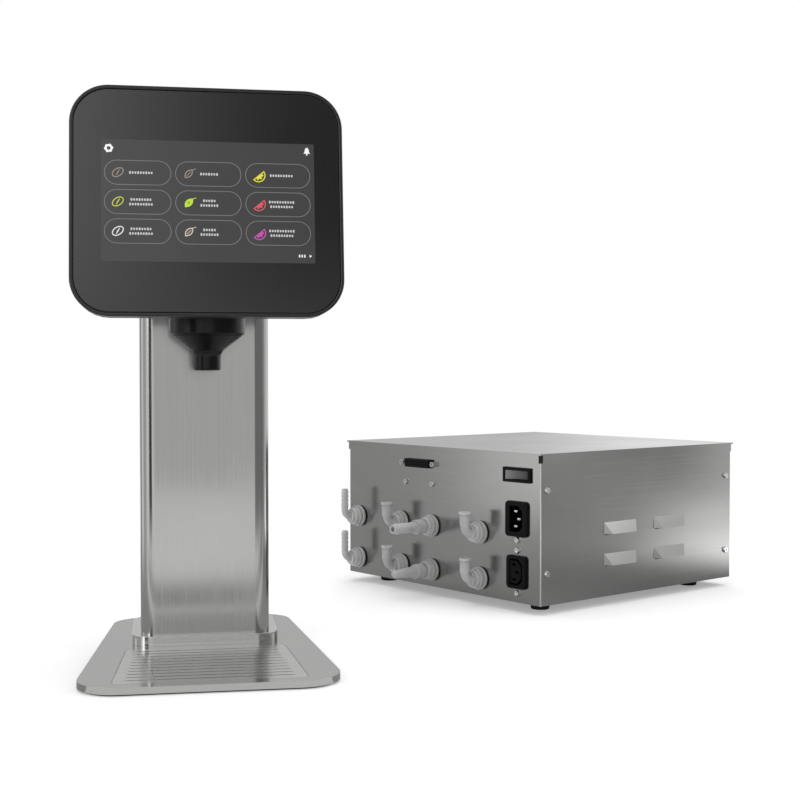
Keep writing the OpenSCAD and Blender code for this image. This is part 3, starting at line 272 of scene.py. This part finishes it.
def moulding(name, colour, roughness, grain=1400.0, depth=0.12, wear=0.25, cloud=1.0, **shader):
    """A moulded finish; what is the same all over is set on the shader's own sockets."""
    made = bpy.data.materials.new(name)
    made.use_nodes = True
    tree = made.node_tree
    place = wire(tree, "TexCoord", {})
    look = wire(tree, "Group", {"node_tree": moulded}, Vector=place.outputs["Object"],
                Colour=(*colour, 1), Roughness=roughness, Grain=grain, Wear=wear, Cloud=cloud)
    body = surfaced(tree, look, depth, reach=0.0002)
    for label, value in shader.items():
        body.inputs[label.replace("_", " ")].default_value = value
    return made


def piece(shape, name, finish, slot, body, *nodes):
    """Closes a mesh as a shown piece that rides on a body and stands for its solids."""
    for part in (*shape.faces, *shape.edges):
        part.smooth = True
    mesh = bpy.data.meshes.new(name)
    shape.to_mesh(mesh)
    shape.free()
    mesh.materials.append(finish)
    thing = bpy.data.objects.new(name, mesh)
    scene.collection.objects.link(thing)
    thing.modifiers.new("flat_faces_stay_flat", "WEIGHTED_NORMAL").keep_sharp = True
    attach(thing, body)
    if nodes:
        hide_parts(*nodes)
    return thing


def rounded(shape, geom, offset, segments, affect="EDGES", clamp_overlap=True):
    """Rounds edges or corners."""
    return bmesh.ops.bevel(shape, geom=geom, offset=offset, offset_type="OFFSET", affect=affect,
                           segments=segments, profile=0.5, material=-1, clamp_overlap=clamp_overlap)


weld, nearly_flat, same_level = 2e-6, radians(0.6), 1e-5


def eased(node, width, finish, slot, segments=2, bend=28, reshape=None):
    """A merged copy of a solid with its edges broken, as a deburred or moulded part has them."""
    shape = bmesh.new()
    shape.from_mesh(frame["nodes"][node].data)
    bmesh.ops.remove_doubles(shape, verts=shape.verts, dist=weld)
    mark = shape.faces.layers.float.new("eased")
    bmesh.ops.dissolve_limit(shape, angle_limit=nearly_flat, verts=shape.verts, edges=shape.edges)
    if reshape:
        reshape(shape)
    corners = [e for e in shape.edges if e.is_manifold and e.calc_face_angle() > radians(bend)]
    for face in rounded(shape, corners, width, segments)["faces"]:
        face[mark] = 1.0
    return piece(shape, node + "_eased", finish, slot, frame["nodes"][node]["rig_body"], node)


pad_rubber = moulding("pad_rubber", (0.012, 0.012, 0.012), 0.75, grain=2200.0, depth=0.25, wear=0.1)
eased("base_pad", 0.0003, pad_rubber, "rubber")

# Base plate: 5 mm stainless plate, cut as a rounded trapezoid with a recess for the drip plate.
# Its rim is rolled over and the whole is brushed from side to side.
rim_r = 0.0032
# Brushed grain: colour and gloss streak along the grain, and a slow cloud sways the gloss. Eased edges
# are painted paler by the Highlight amount, a painted highlight with a little polish.
brushed, given, out = shader_group(
    "brushed_grain",
    [("Vector", "Vector"), ("Cloud", "Vector"), ("Colour", "Color"), ("Roughness", "Float"),
     ("Depth", "Float"), ("Polish", "Float")],
    [("Colour", "Color"), ("Roughness", "Float"), ("Height", "Float")])
line = wire(brushed, "TexNoise", {}, Vector=given.outputs["Vector"], Scale=1.0, Detail=5.0, Roughness=0.6)
cloud = wire(brushed, "TexNoise", {}, Vector=given.outputs["Cloud"], Scale=9.0, Detail=3.0)
edge = wire(brushed, "Attribute", {"attribute_name": "eased"})
edge_highlight = sums(brushed, "MULTIPLY", edge.outputs["Fac"], given.outputs["Polish"])
low = sums(brushed, "SUBTRACT", 1.0, given.outputs["Depth"])
high = sums(brushed, "ADD", 1.0, given.outputs["Depth"])
tone = ramp(brushed, line.outputs["Fac"], begin=0.3, end=0.7, low=low, high=high)
tone = sums(brushed, "ADD", tone, edge_highlight)
brushed.links.new(tinted(brushed, given.outputs["Colour"], tone), out.inputs["Colour"])
smear = ramp(brushed, cloud.outputs["Fac"], begin=0.3, end=0.7, low=-0.03, high=0.04)
streak = ramp(brushed, line.outputs["Fac"], begin=0.3, end=0.7, low=-0.05, high=0.05)
gloss = sums(brushed, "ADD", smear, streak)
gloss = sums(brushed, "ADD", gloss, given.outputs["Roughness"], clamp=True)
brushed.links.new(gloss, out.inputs["Roughness"])
brushed.links.new(line.outputs["Fac"], out.inputs["Height"])


def brushed_steel(name, grey, roughness, along, depth=0.06, polish=0.25, turn=0.0, scratch=0.05):
    """Stainless with its grain along x, y or z, after a turn about z; it blurs across the grain. Its
    eased edges are painted paler: a little polish, and mostly a painted highlight.
    """
    made = bpy.data.materials.new(name)
    made.use_nodes = True
    tree = made.node_tree
    place = wire(tree, "TexCoord", {})
    long_scale, fine_scale, warmth = 8.0, 2200.0, 0.985
    stretch = [long_scale if axis == along else fine_scale for axis in "xyz"]
    turned = wire(tree, "Mapping", {}, Vector=place.outputs["Object"], Rotation=(0, 0, -turn))
    grain = wire(tree, "Mapping", {}, Vector=turned.outputs["Vector"], Scale=stretch)
    look = wire(tree, "Group", {"node_tree": brushed}, Vector=grain.outputs["Vector"],
                Cloud=place.outputs["Object"], Colour=(grey, grey, grey * warmth, 1),
                Roughness=roughness, Depth=depth, Polish=polish)
    surfaced(tree, look, scratch, reach=0.0001).inputs["Metallic"].default_value = 1.0
    return made


def roll_rim(shape):
    """Rolls the outer top edge of the plate over, and leaves the edges of its recess alone."""
    top = max(v.co.z for v in shape.verts)
    middle = sum((v.co for v in shape.verts), Vector()) / len(shape.verts)
    upright = 0.1
    rim = []
    for edge in shape.edges:
        if edge.is_manifold and all(v.co.z > top - same_level for v in edge.verts):
            wall = min(edge.link_faces, key=lambda f: abs(f.normal.z))
            outward = (edge.verts[0].co + edge.verts[1].co) / 2 - middle
            if abs(wall.normal.z) < upright and wall.normal.dot(outward) > 0:
                rim.append(edge)
    rounded(shape, rim, rim_r, 6)


base_steel = brushed_steel("base_steel", 0.46, 0.16, "x", scratch=0.06)
eased("base_plate", 0.0006, base_steel, "stainless", segments=2, reshape=roll_rim)

# Drip plate: thin stainless sheet with long slots, folded down to a skirt all round.
# It lies loose in the recess of the base plate and lifts out for washing.
# Its eased edges are painted paler: a painted highlight.
drip_steel = brushed_steel("drip_steel", 0.52, 0.25, "x", depth=0.06, polish=0.8, scratch=0.06)
eased("drip_plate", 0.0003, drip_steel, "stainless")

# Column foot: a stainless plinth whose rounded edge is painted paler, a painted highlight with a little
# polish.
# It is screwed to the base from below, and its spigot locates the column.
plain_steel = brushed_steel("screw_steel", 0.5, 0.28, "z", depth=0.04)
foot_steel = brushed_steel("foot_steel", 0.66, 0.12, "x", depth=0.03)
eased("column_foot", 0.0012, foot_steel, "polished", segments=3)
eased("foot_screws", 0.0002, plain_steel, "polished")

# Column: stainless tube with rounded corners, brushed along its length.
# It stands on the spigot of the foot, and a flat cap closes its top.
column_steel = brushed_steel("column_steel", 0.46, 0.13, "z", depth=0.03)
eased("column", 0.0004, column_steel, "stainless")
eased("column_cap", 0.0006, column_steel, "stainless")

# Head bracket: a folded steel angle bolted to the column, with a shelf for the injector block.
# The block is white acetal, and the clear syrup tubes rise to it inside the column.
white_acetal = moulding("white_acetal", (0.62, 0.62, 0.58), 0.45, grain=900.0, depth=0.05)
clear_tube = moulding("clear_tube", (0.7, 0.74, 0.76), 0.2, grain=300.0, depth=0.03, wear=0.0,
                      Transmission_Weight=0.6, IOR=1.4)
eased("head_bracket", 0.0004, brushed_steel("bracket_steel", 0.4, 0.35, "x"), "stainless")
eased("bracket_bolts", 0.0002, plain_steel, "polished")
eased("injector_block", 0.0006, white_acetal, "grey_acetal")
eased("riser_tubes", 0.0001, clear_tube, "clear_tube")

# Head: a moulded front frame and a rear cover that tapers back to the column.
# Both are black satin plastic with a fine spark grain, held by screws from behind.
head_plastic = moulding("head_plastic", (0.013, 0.013, 0.014), 0.36, grain=1800.0, depth=0.06,
                        wear=0.5, cloud=0.4, Specular_IOR_Level=0.35)
black_screw = moulding("black_screw", (0.02, 0.02, 0.02), 0.3, Metallic=0.7)
face_place, face_lean = (0, -0.148, 0.3485), 7
face = Matrix.Translation(face_place) @ Matrix.Rotation(radians(90 - face_lean), 4, "X")
frame_half_w, frame_half_h, frame_back, draft_in = 0.098, 0.084, -0.0155, 0.0011
corner_x, corner_y, outer_r = 0.070, 0.056, 0.026


def draft(shape):
    """Draws the back edge of the frame in, as a mould needs it to let go."""
    onto_face = face.inverted()
    for vert in shape.verts:
        spot = onto_face @ vert.co
        past_x, past_y = max(abs(spot.x) - corner_x, 0), max(abs(spot.y) - corner_y, 0)
        if spot.z < frame_back and past_x ** 2 + past_y ** 2 > outer_r ** 2:
            vert.co = face @ Vector((spot.x * (1 - draft_in / frame_half_w),
                                     spot.y * (1 - draft_in / frame_half_h), spot.z))


eased("head_frame", 0.0011, head_plastic, "black_moulding", segments=4, reshape=draft)
eased("head_rear_cover", 0.0008, head_plastic, "black_moulding", bend=40)
eased("cover_screws", 0.0002, black_screw, "black_moulding")

# Cover glass: one pane with a ground edge, printed black on its back, on a rubber seal.
# The display and its circuit board sit behind it.
glass_black = moulding("glass_black", (0.008, 0.008, 0.009), 0.3, grain=600.0, depth=0.01, wear=1.0,
                       cloud=0.15, Specular_IOR_Level=0.55, Coat_Weight=0.15, Coat_Roughness=0.2)
display_tin = moulding("display_tin", (0.3, 0.3, 0.3), 0.4, Metallic=1.0)
board_green = moulding("board_green", (0.02, 0.12, 0.05), 0.35, grain=500.0, depth=0.1)
eased("cover_glass", 0.0005, glass_black, "black_gloss", segments=3)
eased("glass_seal", 0.0001, pad_rubber, "rubber")
eased("display_module", 0.0004, display_tin, "motor_steel")
eased("control_board", 0.0002, board_green, "circuit_board")

# Screen picture: what the lit display shows through the glass.
# Nine outlined keys with a bean, leaf or citrus sign and caption bars, under two tool signs.
# Places on the face are in metres from its middle.
glass_top, lit_t = -0.0006, 0.00005
screen_w, screen_h, screen_corner, screen_middle = 0.1525, 0.0885, 0.0008, (0.0006, -0.0003)


def lit(name, colour):
    """Light from the display: its own colour, a little uneven as a backlight is."""
    made = bpy.data.materials.new(name)
    made.use_nodes = True
    tree = made.node_tree
    body = tree.nodes["Principled BSDF"]
    body.inputs["Base Color"].default_value = (0.01, 0.01, 0.01, 1)
    body.inputs["Roughness"].default_value = 0.3
    body.inputs["Specular IOR Level"].default_value = 0.3
    cloud = wire(tree, "TexNoise", {}, Vector=wire(tree, "TexCoord", {}).outputs["Object"], Scale=22.0)
    even = ramp(tree, cloud.outputs["Fac"], begin=0.3, end=0.7, low=0.94, high=1.06)
    tree.links.new(tinted(tree, (*colour, 1), even), body.inputs["Emission Color"])
    body.inputs["Emission Strength"].default_value = 1.0
    return made


def plate(width, height, radius, segments=8):
    """A flat face with round corners, centred on the origin."""
    shape = rectangle(width, height)
    rounded(shape, shape.verts[:], radius, segments, affect="VERTICES", clamp_overlap=False)
    return shape


def disc(radius, segments=24, wide=1.0, high=1.0):
    """A round or oval face."""
    shape = bmesh.new()
    bmesh.ops.create_circle(shape, cap_ends=True, segments=segments, radius=radius)
    bmesh.ops.scale(shape, vec=(wide, high, 1), verts=shape.verts)
    return shape


def outline(shape, line):
    """Keeps only a line along the edge of a flat face."""
    bmesh.ops.inset_region(shape, faces=shape.faces[:], thickness=line, use_boundary=True,
                           use_even_offset=True)
    inner = [f for f in shape.faces if all(len(e.link_faces) == 2 for e in f.edges)]
    bmesh.ops.delete(shape, geom=inner, context="FACES")
    return shape


def leaf(width, height):
    """A square with two opposite corners rounded almost to the middle."""
    shape = rectangle(width, height)
    round_ones = [v for v in shape.verts if v.co.x * v.co.y < 0]
    rounded(shape, round_ones, 0.8 * min(width, height), 8, affect="VERTICES", clamp_overlap=False)
    return shape


def wedge(radius):
    """Half a citrus slice."""
    shape = disc(radius, 28)
    bmesh.ops.bisect_plane(shape, geom=shape.verts[:] + shape.edges[:] + shape.faces[:],
                           plane_co=(0, 0, 0), plane_no=(0, 1, 0), clear_outer=True)
    return shape


def thickened(shape, height):
    """Gives a flat shape its thickness, upwards."""
    made = bmesh.ops.extrude_face_region(shape, geom=shape.faces[:])
    top = [v for v in made["geom"] if isinstance(v, bmesh.types.BMVert)]
    bmesh.ops.translate(shape, vec=(0, 0, height), verts=top)
    bmesh.ops.recalc_face_normals(shape, faces=shape.faces[:])


def drawn(shape, x, y, turn=0.0, layer=1):
    """Puts a flat sign on the glass, in its layer."""
    thickened(shape, lit_t)
    on_glass = Matrix.Translation((x, y, glass_top + (layer - 1) * lit_t))
    place = face @ on_glass @ Matrix.Rotation(turn, 4, "Z")
    bmesh.ops.transform(shape, matrix=place, verts=shape.verts)
    return shape


def joined(shapes):
    """Several signs of one colour as one mesh."""
    whole = bmesh.new()
    for shape in shapes:
        part = bpy.data.meshes.new("part")
        shape.to_mesh(part)
        shape.free()
        whole.from_mesh(part)
        bpy.data.meshes.remove(part)
    return whole


piece(drawn(plate(screen_w, screen_h, screen_corner, 3), *screen_middle), "screen_field",
      lit("screen_grey", (0.046, 0.046, 0.046)), "screen_glass", "frame")
key_w, key_h, key_r, key_line = 0.0472, 0.018, 0.00895, 0.00042
key_dx, key_dy, key_left, key_top = 0.0501, 0.0213, 0.0002, 0.0199
keys = [(column, row, (column - 1) * key_dx + key_left, key_top - row * key_dy)
        for row in range(3) for column in range(3)]
key_lines = [drawn(outline(plate(key_w, key_h, key_r, 12), key_line), x, y, layer=2)
             for _, _, x, y in keys]
piece(joined(key_lines), "screen_key_lines",
      lit("key_line_grey", (0.2, 0.2, 0.2)), "screen_glass", "frame")

sign_colours = {
    (0, 0): (0.30, 0.24, 0.21), (1, 0): (0.30, 0.24, 0.21), (2, 0): (0.75, 0.72, 0.05),
    (0, 1): (0.55, 0.60, 0.08), (1, 1): (0.52, 0.75, 0.05), (2, 1): (0.72, 0.10, 0.13),
    (0, 2): (0.85, 0.85, 0.85), (1, 2): (0.62, 0.55, 0.42), (2, 2): (0.55, 0.08, 0.42),
}
sign_left = 0.0140
bean_r, bean_line, bean_turn, slit_r, slit_turn = 0.0037, 0.0007, radians(35), 0.0026, radians(60)
leaf_w, leaf_h, leaf_turn, thin_line, thick_line = 0.0064, 0.0057, radians(8), 0.0008, 0.0017
vein_l, stalk_l, vein_t, vein_corner = 0.0042, 0.0026, 0.0005, 0.0001
vein_down, vein_turn, stalk_x, stalk_y, stalk_turn = 0.0001, radians(45), 0.0040, 0.0033, radians(20)
slice_r, slice_line, slice_turn, drop_r, drop_down = 0.0051, 0.00075, 40, 0.00125, 0.00205
for column, row, x, y in keys:
    x -= sign_left
    if column == 0:
        bean = disc(bean_r, wide=1.25, high=0.82)
        slit = disc(slit_r, 16, high=0.16)
        signs = [drawn(outline(bean, bean_line), x, y, bean_turn, 2), drawn(slit, x, y, slit_turn, 2)]
    elif column == 1:
        stalk = plate(stalk_l, vein_t, vein_corner, 2)
        vein = plate(vein_l, vein_t, vein_corner, 2)
        blade = outline(leaf(leaf_w, leaf_h), thick_line if row == 1 else thin_line)
        signs = [drawn(blade, x, y, leaf_turn, 2), drawn(vein, x, y - vein_down, vein_turn, 3),
                 drawn(stalk, x + stalk_x, y + stalk_y, stalk_turn, 2)]
    else:
        signs = [drawn(outline(wedge(slice_r), slice_line), x, y, radians(slice_turn), 2)]
        for spoke in (-50, 0, 50):
            drop = disc(drop_r, 12, wide=0.72, high=1.2)
            bmesh.ops.translate(drop, vec=(0, -drop_down, 0), verts=drop.verts)
            signs.append(drawn(drop, x, y, radians(slice_turn + spoke), 2))
    piece(joined(signs), f"screen_sign_{row}_{column}",
          lit(f"sign_light_{row}_{column}", sign_colours[column, row]), "screen_glass", "frame")

caption_white = lit("caption_white", (0.6, 0.6, 0.6))
caption_middles = (0.0022, 0.0005, 0.0025)
caption_lengths = ((0.0154, 0.0184), (0.0112, 0.0142), (0.0197, 0.0172))
bar_w, bar_h, tall_bar_h, bar_corner = 0.0012, 0.0016, 0.0019, 0.0003
bar_pitch, line_up = 0.0019, 0.0017
bars = []
for column, row, x, y in keys:
    middle = x + caption_middles[column]
    upper, lower = caption_lengths[column]
    for line, length in ((line_up, upper), (-line_up, lower)) if row else ((0, lower),):
        count = int(length / bar_pitch)
        for k in range(count):
            bar = plate(bar_w, bar_h if k % 3 else tall_bar_h, bar_corner, 2)
            bars.append(drawn(bar, middle + (k - (count - 1) / 2) * bar_pitch, y + line, layer=2))
piece(joined(bars), "screen_captions", caption_white, "screen_glass", "frame")

tool_white = lit("tool_white", (0.92, 0.92, 0.92))
cog_x, cog_y, cog_r, cog_line, tooth_out = -0.0703, 0.0374, 0.0028, 0.0015, 1.16
bell_x, bell_y, bell_r, bell_narrow, bell_flare, bell_short = 0.0717, 0.0389, 0.0024, 0.62, 0.42, 0.85
clapper_y, clapper_r = 0.0361, 0.0006
page_y, arrow_x, arrow_r = -0.0392, 0.0733, 0.0012
page_bar_x, page_bar_w, page_bar_h = 0.0654, 0.0010, 0.0021
cog = disc(cog_r, 24)
teeth = [v for k, v in enumerate(cog.verts) if k // 2 % 2]
bmesh.ops.scale(cog, vec=(tooth_out, tooth_out, 1), verts=teeth)
bell = disc(bell_r, 24)
for v in bell.verts:
    drop = max(-v.co.y / bell_r, 0)
    if drop > 0.05 and abs(v.co.x) > 1e-6:
        v.co.x = (bell_narrow + bell_flare * drop ** 2) * bell_r * (1 if v.co.x > 0 else -1)
        v.co.y *= bell_short
    else:
        v.co.x *= bell_narrow
        v.co.y *= bell_short if drop else 1.0
marks = [drawn(outline(cog, cog_line), cog_x, cog_y, layer=2), drawn(bell, bell_x, bell_y, layer=2),
         drawn(disc(clapper_r, 12), bell_x, clapper_y, layer=2),
         drawn(disc(arrow_r, 3), arrow_x, page_y, radians(-90), 2)]
for k in range(3):
    page_bar = plate(page_bar_w, page_bar_h, bar_corner, 2)
    marks.append(drawn(page_bar, page_bar_x + k * bar_pitch, page_y, layer=2))
piece(joined(marks), "screen_tool_signs", tool_white, "screen_glass", "frame")

# Nozzle: a black collar fixed under the shelf, and a spout that twists off it for washing.
# Both are turned gloss plastic, and an o-ring seals the spout's sleeve.
nozzle_black = moulding("nozzle_black", (0.005, 0.005, 0.005), 0.24, grain=500.0, depth=0.02, wear=0.6,
                        cloud=0.4, Specular_IOR_Level=0.25)
neck_r, neck_bend = 0.006, radians(20)


def hollow_neck(shape):
    """Fills the corner where the cone runs into the tip with a long hollow curve."""
    inner = [e for e in shape.edges
             if e.is_manifold and not e.is_convex and e.calc_face_angle() > neck_bend]
    low = min(v.co.z for e in inner for v in e.verts)
    neck = [e for e in inner if all(v.co.z < low + same_level for v in e.verts)]
    rounded(shape, neck, neck_r, 6)


eased("nozzle_collar", 0.0005, nozzle_black, "black_gloss")
eased("nozzle_spout", 0.0004, nozzle_black, "black_gloss", reshape=hollow_neck)
eased("nozzle_o_ring", 0.0001, pad_rubber, "rubber")

# Pump box: folded stainless sheets, the two sides with pressed louvres, under a pan lid.
# They are brushed along their length and screwed together at the flanges.
box_turn = radians(-60)
# The box sheets' eased edges are painted much paler: a painted highlight, as the bright line down the
# near corner.
panel_steel = brushed_steel("panel_steel", 0.42, 0.18, "x", depth=0.03, polish=0.9, turn=box_turn,
                            scratch=0.03)
side_steel = brushed_steel("side_steel", 0.42, 0.2, "y", depth=0.02, turn=box_turn, scratch=0.02)
end_r, end_length = 0.001, 0.1


def round_ends(shape):
    """Rounds the long upright edges at both ends of the face that carries the fittings, and marks them
    for the painted edge highlight.
    """
    outward = Matrix.Rotation(box_turn, 3, "Z") @ Vector((0, -1, 0))
    front = max(v.co.dot(outward) for v in shape.verts)
    upright = [e for e in shape.edges if abs(e.verts[0].co.z - e.verts[1].co.z) > end_length
               and all(v.co.dot(outward) > front - same_level for v in e.verts)]
    for f in rounded(shape, upright, end_r, 4)["faces"]:
        f[shape.faces.layers.float["eased"]] = 1.0


eased("connection_panel", 0.0004, panel_steel, "stainless", reshape=round_ends)
for node in ("rear_panel", "lid", "floor_pan"):
    eased(node, 0.0004, panel_steel, "stainless")
for node in ("louvre_panel", "far_panel"):
    eased(node, 0.0003, side_steel, "stainless")

# Painted shadow: a thin black ring round the top of the panels, in the gap behind the lid's flange.
# It stands for the shade in the openings at the corners of the flange, and shows only there.
flange_out, lid_t = 0.002, 0.0015
shade_h, shade_out, shade_clear, shade_gap = 0.0073, 0.00045, 0.00005, 0.00002
into_box = Matrix.Rotation(-box_turn, 3, "Z")
lid_spots = [into_box @ v.co for v in frame["nodes"]["lid"].data.vertices]
low, high = [Vector([pick(v[k] for v in lid_spots) for k in range(3)]) for pick in (min, max)]
shade_w, shade_d = [high[k] - low[k] - 2 * (flange_out - shade_out) for k in (0, 1)]
gap_shade = outline(rectangle(shade_w, shade_d), shade_out - shade_gap)
thickened(gap_shade, shade_h)
shade_place = Vector(((low.x + high.x) / 2, (low.y + high.y) / 2, high.z - lid_t - shade_clear - shade_h))
bmesh.ops.translate(gap_shade, vec=shade_place, verts=gap_shade.verts)
bmesh.ops.transform(gap_shade, matrix=into_box.inverted().to_4x4(), verts=gap_shade.verts)
piece(gap_shade, "corner_gap_shade", pad_rubber, "rubber", "frame")

# Feet: black rubber bumpers, each held by a screw through the floor pan.
# The panels are fixed with small pan-head screws.
chrome = brushed_steel("chrome", 0.72, 0.12, "z", depth=0.02)
eased("rubber_feet", 0.0006, pad_rubber, "rubber")
eased("rubber_foot_screws", 0.0002, plain_steel, "polished")
eased("panel_screws", 0.0002, chrome, "polished")

# Power switch: a black bezel snapped into the panel, with a rocker between its cheeks.
# The rocker is glossy; its colour is painted pale at one end and dark at the other, a painted reflection
# and shade.
socket_black = moulding("socket_black", (0.004, 0.004, 0.004), 0.38, grain=1500.0, depth=0.1, wear=0.6,
                        Specular_IOR_Level=0.12)
rocker_tone = (0.22, 0.22, 0.22)
rocker_grey = moulding("rocker_grey", rocker_tone, 0.22, grain=500.0, depth=0.02, wear=0.6)
tree = rocker_grey.node_tree
turned = wire(tree, "Mapping", {}, Vector=wire(tree, "TexCoord", {}).outputs["Object"],
              Rotation=(0, 0, -box_turn))
along = wire(tree, "SeparateXYZ", {}, Vector=turned.outputs["Vector"])
reach = [(into_box @ v.co).x for v in frame["nodes"]["rocker"].data.vertices]
# Painted reflection and shade: the rocker's colour goes from pale at one end to near black at the other.
paler = ramp(tree, along.outputs["X"], begin=min(reach), end=max(reach), low=1.5, high=0.02)
look = next(n for n in tree.nodes if n.type == "GROUP")
tree.links.new(tinted(tree, (*rocker_tone, 1), paler), look.inputs["Colour"])
eased("switch_body", 0.0004, socket_black, "black_moulding")
eased("rocker", 0.0004, rocker_grey, "black_gloss")

# Mains inlet and outlet: black moulded housings with a flange.
# One screw holds the inlet and two the outlet, and the inlet's three pins are plated brass.
eased("mains_inlet", 0.0004, socket_black, "black_moulding")
eased("mains_outlet", 0.0004, socket_black, "black_moulding")
eased("inlet_pins", 0.0003, chrome, "polished")
eased("socket_screws", 0.0002, chrome, "polished")

# Data connector: a black shell in a slot of the panel, with a jackscrew at either side.
# A bracket behind it carries the pump board and is held by the two screws below.
eased("data_connector", 0.0003, socket_black, "black_moulding")
eased("jackscrews", 0.0002, chrome, "polished")
eased("board_bracket", 0.0003, plain_steel, "stainless")
eased("pump_board", 0.0002, board_green, "circuit_board")
eased("bracket_screws", 0.0002, chrome, "polished")

# Bulkhead fittings: grey acetal bodies through the panel, with a seal outside and a nut inside.
# Elbows and barbs plug into them, and each push-in elbow has a release collet.
acetal = moulding("grey_acetal", (0.6, 0.6, 0.6), 0.3, grain=420.0, depth=0.04, wear=0.2,
                  Subsurface_Weight=0.15, Subsurface_Scale=0.004)
pale_acetal = moulding("pale_acetal", (0.66, 0.66, 0.66), 0.28, grain=420.0, depth=0.04, wear=0.2,
                       Subsurface_Weight=0.15, Subsurface_Scale=0.004)
eased("bulkhead_bodies", 0.0003, acetal, "grey_acetal")
eased("bulkhead_seals", 0.0002, pad_rubber, "rubber")
eased("bulkhead_nuts", 0.0003, acetal, "grey_acetal")
for number in (1, 2, 3, 4):
    eased(f"push_elbow_{number}", 0.0003, acetal, "grey_acetal")
    eased(f"collet_{number}", 0.0002, pale_acetal, "grey_acetal")
for node in ("barb_elbow_1", "barb_elbow_2", "straight_barb", "tapered_plug"):
    eased(node, 0.0002, acetal, "grey_acetal")

# Pumps: four heads on the floor pan, each with its motor and a short clear tube to its bulkhead.
# The power supply stands behind them.
motor_steel = moulding("motor_steel", (0.4, 0.4, 0.4), 0.35, Metallic=1.0)
supply_case = moulding("supply_case", (0.45, 0.45, 0.46), 0.4, Metallic=1.0)
eased("pump_heads", 0.0008, white_acetal, "grey_acetal")
eased("pump_motors", 0.0006, motor_steel, "motor_steel")
eased("pump_tubes", 0.0001, clear_tube, "clear_tube")
eased("power_supply", 0.0006, supply_case, "motor_steel")
